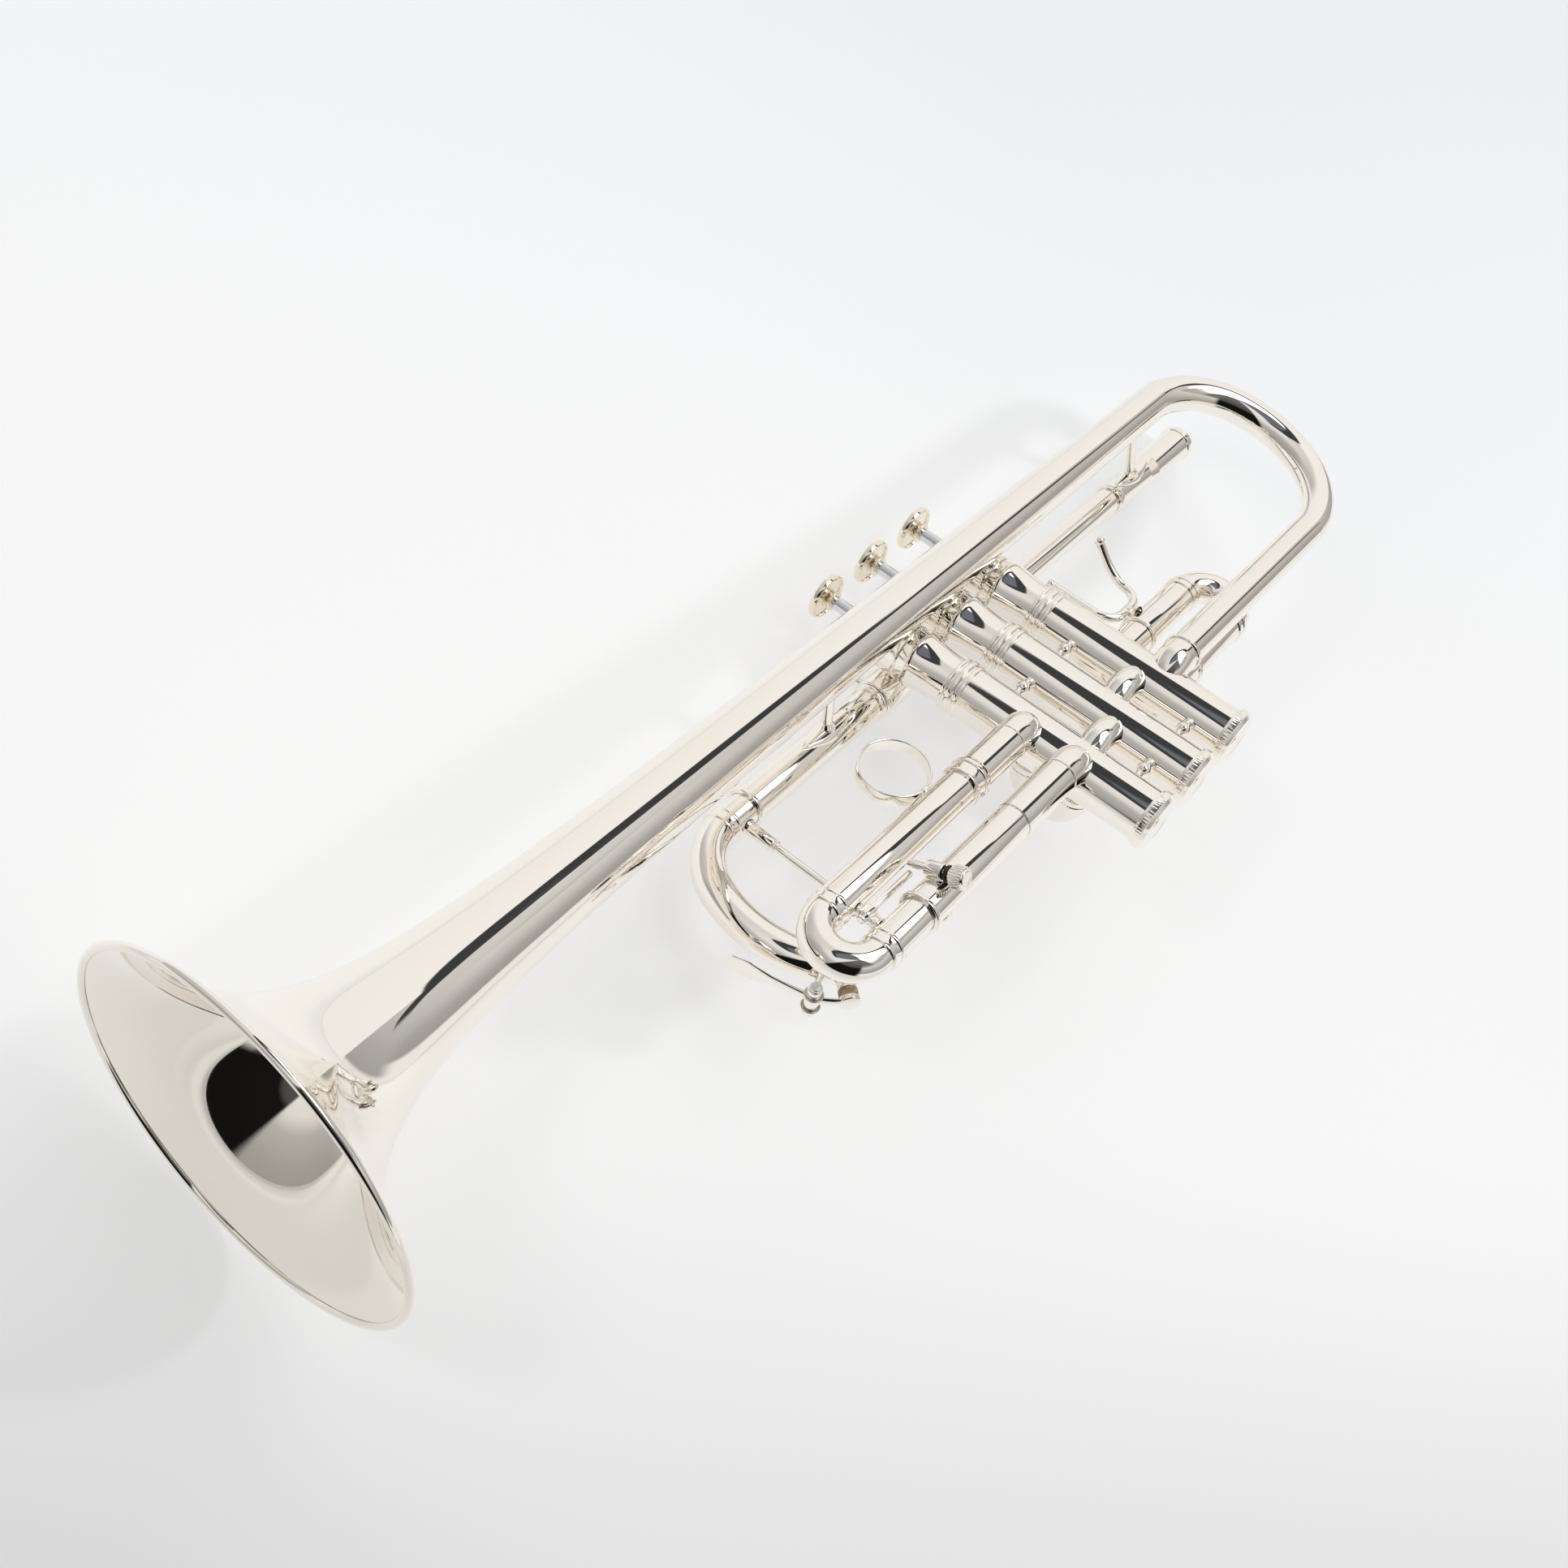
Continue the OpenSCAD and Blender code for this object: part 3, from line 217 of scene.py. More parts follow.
class Build:
    def __init__(self):
        self.v, self.f = [], []

    def grid(self, G, wrap_v=True, wrap_u=False):
        nu, nv = G.shape[:2]
        o = len(self.v)
        self.v.extend(W(G.reshape(-1, 3)).tolist())
        for i in range(nu if wrap_u else nu - 1):
            i2 = (i + 1) % nu
            for j in range(nv if wrap_v else nv - 1):
                j2 = (j + 1) % nv
                self.f.append((o + i * nv + j, o + i * nv + j2, o + i2 * nv + j2, o + i2 * nv + j))
        return self

    def lathe(self, o, d, prof, seg=96, closed=False, mod=None):
        """prof: (distance along d, radius). mod(k, theta) -> radius factor for ring k."""
        d, e1, e2 = basis(d)
        th = np.linspace(0, 2 * math.pi, seg, endpoint=False)
        C = np.cos(th)[:, None] * e1 + np.sin(th)[:, None] * e2
        G = np.zeros((len(prof), seg, 3))
        for k, (s, r) in enumerate(prof):
            rr = r if mod is None else r * mod(k, th)[:, None]
            G[k] = np.asarray(o) + s * d + rr * C
        return self.grid(G, True, closed)

    def sweep(self, path, rad, seg=72, caps=True, flat=None, up=None, wrap=False):
        """Round (or oval: flat = (a, b) factors) section along a path of points."""
        path = np.asarray(path, float)
        n = len(path)
        rad = np.full(n, rad) if np.isscalar(rad) else np.asarray(rad, float)
        if wrap:
            T = np.roll(path, -1, 0) - np.roll(path, 1, 0)
        else:
            T = np.gradient(path, axis=0)
        T /= np.linalg.norm(T, axis=1)[:, None]
        if up is None:
            _, e, _ = basis(T[0])
        else:
            e = np.asarray(up, float) - T[0] * (np.asarray(up, float) @ T[0]); e /= np.linalg.norm(e)
        th = np.linspace(0, 2 * math.pi, seg, endpoint=False)
        G = np.zeros((n, seg, 3))
        for k in range(n):
            e = e - T[k] * (e @ T[k]); e /= np.linalg.norm(e)
            b = np.cross(T[k], e)
            fa, fb = (1, 1) if flat is None else (flat if np.isscalar(flat[0]) else flat[k])
            G[k] = path[k] + rad[k] * (fa * np.cos(th)[:, None] * e + fb * np.sin(th)[:, None] * b)
        o = len(self.v)
        self.grid(G, True, wrap)
        if caps and not wrap:
            self.f.append(tuple(range(o, o + seg)))
            self.f.append(tuple(range(o + (n - 1) * seg, o + n * seg)))
        return self

    def ball(self, c, r, d=(0, 0, 1), seg=40):
        pr = [(-r * math.cos(math.pi * k / 20), r * math.sin(math.pi * k / 20)) for k in range(21)]
        return self.lathe(c, d, pr, seg)

    def rod(self, a, b, r, ro=0.25, seg=48):
        a, b = np.asarray(a, float), np.asarray(b, float)
        l = np.linalg.norm(b - a)
        return self.lathe(a, b - a, fil([(0, 0), (0, r), (l, r), (l, 0)], ro), seg)

    def slab(self, outline, t, origin, ex, ey, ez, bend=None, round_=0.15):
        """Flat plate: outline in (ex, ey), thickness t along ez, centred, edges softened by a bevel later."""
        o = len(self.v)
        m = len(outline)
        pts = []
        for s in (-0.5, 0.5):
            for (x, y) in outline:
                z = s * t + (bend(x, y) if bend else 0)
                pts.append(np.asarray(origin) + x * np.asarray(ex) + y * np.asarray(ey) + z * np.asarray(ez))
        self.v.extend(W(np.array(pts)).tolist())
        self.f.append(tuple(range(o, o + m)))
        self.f.append(tuple(range(o + m, o + 2 * m)))
        for i in range(m):
            j = (i + 1) % m
            self.f.append((o + i, o + j, o + m + j, o + m + i))
        return self

    def done(self, name, nodes, mat=None, angle=38, body=None, bevel=0):
        me = bpy.data.meshes.new(name)
        bm = bmesh.new()
        vs = [bm.verts.new(p) for p in self.v]
        for f in self.f:
            try:
                bm.faces.new([vs[i] for i in f])
            except ValueError:
                pass
        bmesh.ops.remove_doubles(bm, verts=bm.verts, dist=2e-7)
        bmesh.ops.dissolve_degenerate(bm, edges=bm.edges, dist=1e-8)
        bmesh.ops.recalc_face_normals(bm, faces=bm.faces)
        bm.to_mesh(me); bm.free()
        for p in me.polygons:
            p.use_smooth = True
        me.set_sharp_from_angle(angle=math.radians(angle))
        ob = bpy.data.objects.new(name, me)
        bpy.context.scene.collection.objects.link(ob)
        nodes = [nodes] if isinstance(nodes, str) else list(nodes)
        mat = mat or BY_SLOT[NODE_SLOT[nodes[0]]]
        me.materials.append(mat)
        if bevel:
            b = ob.modifiers.new("edge", "BEVEL"); b.width = bevel / 1000; b.segments = 3; b.limit_method = "ANGLE"
            b.angle_limit = math.radians(40)
        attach(ob, body or BODY_OF[nodes[0]])
        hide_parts(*nodes)
        return ob


def arc_pts(c, R, a0, a1, ex, ez, step=1.5):
    n = max(2, int(abs(a1 - a0) / step))
    return [np.asarray(c, float) + R * (cd(a0 + (a1 - a0) * k / n) * np.asarray(ex, float) + sd(a0 + (a1 - a0) * k / n) * np.asarray(ez, float))
            for k in range(n + 1)]


def join(*parts):
    out = []
    for p in parts:
        for q in p:
            if not out or np.linalg.norm(np.asarray(q) - out[-1]) > 1e-4:
                out.append(np.asarray(q, float))
    return out


def line(a, b, step=4.0):
    a, b = np.asarray(a, float), np.asarray(b, float)
    n = max(1, int(np.linalg.norm(b - a) / step))
    return [a + (b - a) * k / n for k in range(n + 1)]


X, Y, Z = V3(1, 0, 0), V3(0, 1, 0), V3(0, 0, 1)


def tube_open(bd, a, b, ro, ri, lip=0.12, seg=96):
    """Open tube with real wall between a and b."""
    a, b = np.asarray(a, float), np.asarray(b, float)
    l = np.linalg.norm(b - a)
    bd.lathe(a, b - a, fil([(0, ri), (0, ro), (l, ro), (l, ri)], lip, closed=True), seg, closed=True)


def ferrule(bd, x, y, z, r, w, h=0.7, beads=2, seg=96):
    """Ring round an x tube with a bead at each end and a plain band between."""
    b = min(1.1, w / 3)
    pr = [(0, r - 0.3), (0, r + h * 0.75), (0.12, r + h)]
    pr += [(b - 0.12, r + h), (b, r + h * 0.75), (b + 0.15, r + h * 0.35)]
    pr += [(w - b - 0.15, r + h * 0.35), (w - b, r + h * 0.75), (w - b + 0.12, r + h), (w - 0.12, r + h), (w, r + h * 0.75), (w, r - 0.3)]
    bd.lathe(V3(x - w / 2, y, z), X, fil(pr, 0.1, n=3), seg)


def bead(bd, x, y, z, r, w, ri, seg=96):
    pr = [(0, ri), (0, r - w * 0.22), (w * 0.18, r), (w * 0.82, r), (w, r - w * 0.22), (w, ri)]
    bd.lathe(V3(x - w / 2, y, z), X, fil(pr, w * 0.25, n=4), seg)


# ------------------------------------------------------------------ bell
def bell_meshes():
    ds = [190 * (k / 150) ** 2 for k in range(151)]
    outer = [(d, flare(d)) for d in ds]
    inner = [(d, flare(d) - bell_wall * (1 + 0.9 * math.exp(-d / 9))) for d in reversed(ds)]
    Build().lathe(V3(0, 0, 0), -X, outer + inner, 256, closed=True).done("bell_flare_skin", "bell_flare", angle=60)
    # rolled rim
    pr = [(1.3 * math.cos(2 * math.pi * k / 28) - 0.2, rim_r - 1.3 + 1.3 * math.sin(2 * math.pi * k / 28)) for k in range(28)]
    Build().lathe(V3(0, 0, 0), X, pr, 256, closed=True).done("bell_rim_roll", "bell_rim", angle=80)
    ds = [190 + (447 - 190) * k / 110 for k in range(111)]
    outer = [(d, soft_tail(d) if d > 380 else flare(d)) for d in ds]
    inner = [(d, r - 0.7) for d, r in reversed(outer)]
    Build().lathe(V3(0, 0, 0), -X, outer + inner, 128, closed=True).done("bell_tail_tube", "bell_tail", angle=60)
    # bow
    c, s = math.cos(bow_tilt), math.sin(bow_tilt)
    dn = V3(0, -s, -c)       # in-plane direction from the upper to the lower leg
    def at(x, q):
        return V3(x, 0, 0) + dn * q
    p = line(at(-447, 0), at(bow_x0, 0), 2)
    p1 = [at(bow_x0 - bow_rc * sd(a), bow_rc - bow_rc * cd(a)) for a in np.arange(0, bow_al + 0.01, 1.0)]
    mx, mq = bow_x0 - bow_rc * sd(bow_al) + bow_rm * sd(bow_al), bow_hh / 2
    p2 = [at(mx - bow_rm * sd(a), mq - bow_rm * cd(a)) for a in np.linspace(bow_al, 180 - bow_al, 46)]
    p3 = [at(bow_x0 - bow_rc * sd(a), bow_hh - bow_rc - bow_rc * cd(a)) for a in np.arange(180 - bow_al, 180.01, 1.0)]
    path = np.array(join(p, p1, p2, p3))
    L = np.concatenate([[0], np.cumsum(np.linalg.norm(np.diff(path, axis=0), axis=1))])
    t = L / L[-1]
    rad = bow_r + (bow_r2 - bow_r) * (3 * t ** 2 - 2 * t ** 3)
    Build().sweep(path, rad, 128, up=(0, 1, 0)).done("bow_tube", "bell_bow", angle=60)
    bd = Build()
    bd.sweep(line((bow_x0, -bow_lean, -bow_h), (knuckle_x, -bow_lean, -bow_h), 2), bow_r2, 128)
    bd.done("bell_leg_tube", "bell_lower_leg", angle=60)
    bd = Build()
    R = 6.7
    y, z = -bow_lean, -bow_h
    p = join(line((knuckle_x, y, z), (vx(1) - R - 3, y, z), 1), [V3(vx(1) - R - 3 + R * sd(a), y - R + R * cd(a), z) for a in range(0, 91, 3)])
    bd.sweep(p, bow_r2 + 0.35, 96)
    bead(bd, knuckle_x + 1.0, y, z, bow_r2 + 0.95, 2.0, bow_r2 - 0.2)
    bd.done("bell_elbow", "bell_knuckle", angle=50)


bell_meshes()


# ------------------------------------------------------------------ valves
def valve_o(n):
    return V3(vx(n), -valve_y, 0)


def casing_mesh(n):
    r = casing_r
    pr = [(zv_bot, bore_r), (zv_bot, r, 0.1), (zv_ring - 3.4, r, 0.25), (zv_ring - 3.4, r + 0.55, 0.35), (zv_ring - 2.0, r + 0.55, 0.35),
          (zv_ring - 2.0, r + 0.05, 0.2), (zv_ring - 1, r + 0.05, 0.2), (zv_ring - 1, r + 0.9, 0.5), (zv_ring + 1, r + 0.9, 0.5),
          (zv_ring + 1, r + 0.05, 0.2), (zv_ring + 2, r + 0.05, 0.2), (zv_ring + 2, r + 0.5, 0.3), (zv_ring + 3.2, r + 0.5, 0.3),
          *[(zv_ring + 3.2 + 14.2 * k / 14, r - 0.6 + 1.4 * (k / 14) ** 2, 0) for k in range(15)], (zv_ring + 18.6, r + 0.8, 0.6), (zv_ring + 18.8, r + 0.2, 0.2), (-6.6, r + 0.1, 0.1), (-6.6, r - 0.4), (1, r - 0.4), (1, bore_r)]
    Build().lathe(valve_o(n), Z, fil(pr, 0.1, closed=True, n=6), 160, closed=True).done("casing_%d_tube" % n, "casing_%d" % n, angle=35)


for n in (1, 2, 3):
    casing_mesh(n)

bd = Build()
for n in (1, 2, 3):
    pr = [(-6.6, casing_r - 0.35), (-6.6, cap_r - 0.5, 0.3), (-5, cap_r - 0.5, 0.3), (-5, cap_r - 0.75, 0.1), (2, cap_r - 0.75, 0.1), (2, cap_r - 0.25, 0.4),
          (4.2, cap_r - 0.25, 0.8), (6.8, 5.7, 0.4), (6.8, 2.9, 0.1), (3.2, 2.9)]
    bd.lathe(valve_o(n), Z, fil(pr, 0.2, n=5), 128)
bd.done("top_caps_turned", "top_caps", angle=35)
bd = Build()
for n in (1, 2, 3):
    bd.lathe(valve_o(n), Z, fil([(6.8, 2.9), (6.8, 5.2), (9.0, 5.2), (9.0, 2.9)], 0.4, closed=True), 64, closed=True)
bd.done("cap_felt_rings", "cap_felts", angle=60)
for n in (1, 2, 3):
    b0 = zv_bot
    pr = [(b0 + 2.8, 7.3), (b0 + 2.8, bore_r), (b0 - 0.05, bore_r), (b0 - 0.05, cap_r - 0.45, 0.25), (b0 - 0.85, cap_r - 0.45, 0.1), (b0 - 0.85, cap_r, 0.5),
          (b0 - 3.3, cap_r, 0.6), (b0 - 3.4, cap_r - 0.35, 0.15), (b0 - 4.75, cap_r - 1.5, 0.5), (b0 - 4.3, cap_r - 2.4, 0.5), (b0 - 3.95, 7.0, 2.0), (b0 - 3.8, 2.4, 0.3), (b0 - 3.8, 1.7, 0.15),
          (b0 - 1.6, 1.7), (b0 - 1.6, 7.3)]
    prf = fil(pr, 0.12, closed=True, n=5)
    rr = np.array([q[1] for q in prf]); zz = np.array([q[0] for q in prf])
    kn = (rr > cap_r - 0.12) & (zz < b0 - 1.0) & (zz > b0 - 3.2)
    Build().lathe(valve_o(n), Z, prf, 240, closed=True,
                  mod=lambda k, th: 1 + (0.010 * (0.5 * np.cos(60 * th) - 0.5) if kn[k] else 0) * np.ones_like(th)).done("bottom_cap_%d_turned" % n, "bottom_cap_%d" % n, angle=35)
bd = Build()
for n in (1, 2):
    for z in (-44.5, -93.5):
        o = V3(vx(n) + pitch / 2, -valve_y + 3.6, z)
        pr = [(-4.55, 0), (-4.55, 1.7), (-3.6, 1.35, 0.5), (-2.3, 1.35, 0.4)] + [(2.45 * -cd(a), 2.45 * sd(a), 0) for a in range(34, 147, 8)] + [(2.3, 1.35, 0.4), (3.6, 1.35, 0.5), (4.55, 1.7), (4.55, 0)]
        bd.lathe(o, X, fil(pr, 0.2, n=3), 48)
bd.done("casing_stud_turnings", "casing_studs", angle=45)
bd = Build()
for n, z in ((1, -69), (2, -76)):
    c = V3(vx(n) + pitch / 2, -valve_y - 4.2, z)
    bd.sweep(arc_pts(c, 9.6, 25, 155, X, Y, 2), 5.3, 96, up=Z)
bd.done("valve_knuckles", "intervalve_knuckles", angle=50)

for n in (1, 2, 3):
    pt = zv_bot + 19.6
    Build().lathe(valve_o(n), Z, fil([(pt, 6.6), (pt, 8.45, 0.5), (-25, 8.45, 0.5), (-25, 6.2), (-31, 6.2), (-31, 0)], 0.2, n=3) , 96).done("piston_%d_body" % n, "piston_%d" % n, mat=STEEL, angle=35)
    Build().lathe(valve_o(n), Z, fil([(-31, 0), (-31, 5.2), (-28.5, 5.2), (-28.5, 2.4), (button_z + 1, 2.4), (button_z + 1, 0)], 0.3, n=3), 64).done("stem_%d_rod" % n, "valve_stem_%d" % n, angle=35)
    b = button_z
    R_ = button_r
    pr = [(b - 2.6, 0), (b - 2.6, 3.9, 0.4), (b - 1.5, 3.9, 0.4), (b - 1.2, 3.1, 0.5), (b + 0.75, 3.1, 0.4), (b + 0.75, R_ - 1.25, 0.3), (b - 0.1, R_ - 1.0, 0.25), (b + 0.1, R_ - 0.35, 0.4),
          (b + 1.1, R_, 0.7), (b + 2.3, R_, 0.9), (b + 3.15, R_ - 1.2, 0.5), (b + 2.75, R_ - 2.2, 0.8), (b + 2.5, 3.0, 3), (b + 2.45, 0)]
    Build().lathe(valve_o(n), Z, fil(pr, 0.3, n=6), 128).done("button_%d_cap" % n, "finger_button_%d" % n, angle=40)
    lo, hi = zv_bot - 1.6, pt + 4
    turns = 6
    q = np.linspace(0, 1, 260)
    path = [valve_o(n) + V3(5.6 * math.cos(2 * math.pi * turns * t), 5.6 * math.sin(2 * math.pi * turns * t), lo + 0.5 + (hi - lo - 1) * t) for t in q]
    ob = Build().sweep(path, 0.5, 10).done("spring_%d_coil" % n, "valve_spring_%d" % n, angle=70)
    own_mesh(ob)

# ------------------------------------------------------------------ leadpipe side
bd = Build()
tube_open(bd, (lead_back + 27, -lead_y, lead_z), (-300, -lead_y, lead_z), 5.2, 4.6)
tube_open(bd, (-300, -lead_y, lead_z), (-262.5, -lead_y, lead_z), inner_r - 0.05, 4.6)
bd.done("leadpipe_tube", "leadpipe", angle=35)
bd = Build()
pr = [(25, socket_r), (0.2, socket_r + 0.25, 0.2), (0, 6.9, 0.5), (0.3, 7.1, 0.4), (2.8, 7.1, 0.5), (3.1, 6.6, 0.3), (25.5, 6.75, 0.6), (30, 5.95, 1.0), (51, 5.9, 0.2), (51, 6.35, 0.3), (53, 6.35, 0.3), (53, 5.9, 0.1), (54, 5.85, 0.1), (54, 5.2), (25, 5.2)]
bd.lathe(V3(lead_back, -lead_y, lead_z), X, fil(pr, 0.15, closed=True, n=4), 128, closed=True)
bd.done("receiver_turned", "mouthpiece_receiver", angle=40)
bd = Build()
tube_open(bd, (-268, -lead_y, lead_z), (-201, -lead_y, lead_z), outer_r, inner_r + slide_gap)
bead(bd, -201.9, -lead_y, lead_z, outer_r + 1.0, 1.8, outer_r - 0.1)
ferrule(bd, -268.5, -lead_y, lead_z, outer_r - 0.3, 3, 0.7)
bd.done("tuning_upper_tube", "tuning_outer_upper", angle=40)
bd = Build()
p = join(line((-215, -lead_y, ts_z), (vx(3) + 8, -lead_y, ts_z), 2),
         [V3(vx(3) + 8 - 8 * sd(a), -lead_y + 8 - 8 * cd(a), ts_z) for a in range(0, 91, 3)],
         line((vx(3), -lead_y + 8, ts_z), (vx(3), -valve_y - 7, ts_z), 1))
bd.sweep(p, outer_r, 96)
bead(bd, -215.9, -lead_y, ts_z, outer_r + 1.0, 1.8, inner_r + 0.1)
ferrule(bd, -262, -lead_y, ts_z, outer_r, 3, 0.4)
bd.done("tuning_lower_tube", "tuning_outer_lower", angle=40)


def foot(bd, x, y, z, dy, rt, half=13.0, wide=4.4, t=1.2):
    """Leaf-shaped foot wrapped on an x tube of radius rt, on its +y (dy 1) or -y side."""
    n, m = 36, 12
    rows = []
    for i in range(n + 1):
        u = -1 + 2 * i / n
        w = wide * (1 - abs(u) ** 1.7) + 0.25
        row = []
        for k in range(m + 1):
            q = -1 + 2 * k / m
            a = q * w / rt
            edge = max(abs(q) ** 6, abs(u) ** 10)
            r = rt + t * (1 - 0.75 * edge) + 0.35 * (1 - abs(u)) * (1 - q * q)
            row.append(V3(x + u * half, y + dy * r * math.cos(a), z + r * math.sin(a)))
        for k in range(m, -1, -1):
            q = -1 + 2 * k / m
            a = q * w / rt
            row.append(V3(x + u * half, y + dy * (rt - 0.15) * math.cos(a), z + (rt - 0.15) * math.sin(a)))
        rows.append(row)
    G = np.array(rows)
    o = len(bd.v)
    bd.grid(G, True, False)
    nv = G.shape[1]
    bd.f.append(tuple(range(o, o + nv)))
    bd.f.append(tuple(range(o + n * nv, o + (n + 1) * nv)))


bd = Build()
foot(bd, -243, -lead_y, lead_z, 1, outer_r)
foot(bd, -243, 0, 0, -1, flare(243) - 0.02)
fy0, fy1 = -lead_y + outer_r, -flare(243)
pr = [(0, 3.4), (1.5, 2.9, 1), (3.2, 1.9, 1.5), ((fy1 - fy0) - 3.2, 1.9, 1.5), ((fy1 - fy0) - 1.5, 2.9, 1), ((fy1 - fy0), 3.4)]
bd.lathe(V3(-243, fy0, lead_z + 0.4), V3(0, fy1 - fy0, -0.4 - lead_z - 0.4), fil(pr, 0.5, n=5), 64)
bd.done("front_brace_rod", "front_brace", angle=50)
bd = Build()
foot(bd, -440, -lead_y, lead_z, 1, 5.9, 12, 4.0)
foot(bd, -432, 0, 0, -1, 6.93, 12, 4.2)
a_, b_ = V3(-440, -lead_y + 5.6, lead_z + 0.4), V3(-432, -6.6, -0.3)
l_ = np.linalg.norm(b_ - a_)
bd.lathe(a_, b_ - a_, fil([(0, 3.2), (1.6, 2.7, 1), (3.2, 1.7, 1.5), (l_ - 3.2, 1.7, 1.5), (l_ - 1.6, 2.7, 1), (l_, 3.2)], 0.5, n=5), 64)
bd.done("rear_brace_rod", "rear_brace", angle=50)
bd = Build()
p = join(line((-276, -lead_y - 2, lead_z + 4.5), (-276, -lead_y - 2, 10), 1), [V3(-285 + 9 * cd(a), -lead_y - 2, 10 + 9 * sd(a)) for a in range(0, 166, 3)])
k = np.linspace(0, 1, len(p))
bd.sweep(p, 2.0 - 0.15 * k, 40, flat=(1.0, 1.0))
bd.ball(p[-1], 2.15)
tube_open(bd, (-284, -lead_y, lead_z), (-270.2, -lead_y, lead_z), outer_r + 0.9, inner_r - 0.05, 0.5)
bd.done("pinky_hook_rod", "pinky_hook", angle=50)


# ------------------------------------------------------------------ third slide
def elbow_pts(n, y, z, s, xs, R=6.7):
    x0 = vx(n) - s * (R + 3)
    return join(line((xs, y, z), (x0, y, z), 2), [V3(x0 + s * R * sd(a), y - R + R * cd(a), z) for a in range(0, 91, 3)])


bd = Build()
bd.sweep(elbow_pts(3, y3, z3, -1, -247.6), outer_r - 0.15, 96)
bead(bd, -267.5, y3, z3, outer_r + 0.12, 1.0, outer_r - 0.5)
tube_open(bd, (-250, y3, z3), (-172, y3, z3), inner_r - tube_wall - slide_gap, air_r - 0.8)
bd.done("third_upper_elbow", "third_tube_upper", angle=40)
bd = Build()
bd.sweep(elbow_pts(3, y3, z3 - leg_gap, -1, -240), outer_r, 96)
tube_open(bd, (-241, y3, z3 - leg_gap), (ring3_x, y3, z3 - leg_gap), outer_r, inner_r + slide_gap)
bead(bd, -267.5, y3, z3 - leg_gap, outer_r + 0.3, 1.0, outer_r - 0.3)
bead(bd, ring3_x - 0.9, y3, z3 - leg_gap, outer_r + 1.0, 1.8, outer_r - 0.1)
bd.done("third_lower_elbow", "third_tube_lower", angle=40)

sa, sb = V3(-201, -9.9, -63.2), V3(-201, 0.3, -82.8)
su = (sb - sa) / np.linalg.norm(sb - sa)
bd = Build()
bd.rod(V3(-201, y3 + 5, z3 - leg_gap + 2.4), sa + su * 10.4, 2.7, 0.4)
bd.rod(sa + su * 7.4, sa + su * 13.6, 2.9, 0.5)
bd.done("stop_post_turned", "slide_stop_post", angle=45)
bd = Build()
pr = [(0, 0), (0, 0.8), (0.6, 1.35, 0.3), (15.9, 1.35, 0.1), (15.9, 2.4, 0.2), (16.9, 2.4, 0.2), (16.9, 3.6, 0.4), (20.9, 3.6, 0.5), (21.0, 2.9, 0.3), (21.8, 2.6, 0.5), (21.7, 0)]
prf = fil(pr, 0.1, n=4)
# a few more rings on the head so that the knurl has something to sit on
bd.lathe(sa, su, prf, 192, mod=lambda k, th: (1 + (0.035 * np.cos(24 * th) if prf[k][1] > 3.3 else 0)) * np.ones_like(th))
bd.done("stop_screw_turned", "stop_thumb_screw", angle=40)
bd = Build()
d_, e1_, e2_ = basis(su)
c_ = sa + su * 15.0
bd.sweep([c_ + 2.1 * (math.cos(t) * e1_ + math.sin(t) * e2_) for t in np.linspace(0, 2 * math.pi, 60, endpoint=False)], 0.7, 16, wrap=True)
bd.done("stop_o_ring_torus", "stop_o_ring", angle=80)

bd = Build()
p = [V3(x3c + crook_r * sd(a), y3, z3 - crook_r + crook_r * cd(a)) for a in np.arange(0, 180.1, 2)]
p = join(line((x3c - 4, y3, z3), (x3c, y3, z3), 1), p, line((x3c, y3, z3 - leg_gap), (x3c - 4, y3, z3 - leg_gap), 1))
bd.sweep(p, inner_r + 0.15, 112, up=Y)
for z in (z3, z3 - leg_gap):
    ferrule(bd, x3c - 2.5, y3, z, inner_r + 0.1, 5, 0.62)
bd.done("third_crook_bend", "third_crook", angle=45)
bd = Build()
tube_open(bd, (sleeve_x, y3, z3), (x3c - 5, y3, z3), outer_r - 0.15, inner_r - tube_wall)
tube_open(bd, (x3c - 6, y3, z3), (x3c, y3, z3), inner_r + 0.02, inner_r - tube_wall)
bead(bd, sleeve_x + 1.0, y3, z3, outer_r + 0.95, 2.0, outer_r - 0.4)
bd.lathe(V3(sleeve_x + 2, y3, z3), X, fil([(0, outer_r + 0.45), (3.4, outer_r + 0.45, 0.2), (3.4, outer_r + 0.8, 0.25), (4.6, outer_r + 0.8, 0.3), (4.7, outer_r - 0.2)], 0.2, n=3), 96)
bd.done("third_sleeve_tube", "third_sleeve", angle=40)
bd = Build()
tube_open(bd, (-258, y3, z3 - leg_gap), (x3c, y3, z3 - leg_gap), inner_r, air_r)
bd.done("third_leg_tube", "third_inner_tube", angle=40)
fr = 12.3
bd = Build()
fc = V3(-228.5, y3, z3 + outer_r + fr - 0.3)
bd.lathe(fc - 2.6 * Y, Y, fil([(0, fr - 0.95), (0, fr - 0.15), (5.2, fr - 0.15), (5.2, fr - 0.95)], 0.38, closed=True, n=5), 160, closed=True)
bd.rod(V3(-228.5, y3, z3 + 5.4), V3(-228.5, y3, z3 + outer_r + 0.9), 3.0, 0.5)
bd.done("finger_ring_band", "finger_ring", angle=50)
bd = Build()
l0, l1 = z3 - (outer_r - 0.3), z3 - leg_gap + inner_r - 0.2
bd.lathe(V3(-177.5, y3, l0), -Z, fil([(0, 2.6), (1.0, 1.8, 0.8), (l0 - l1 - 1.0, 1.8, 0.8), (l0 - l1, 2.6)], 0.4, n=4), 48)
zc = z3 - 9.6
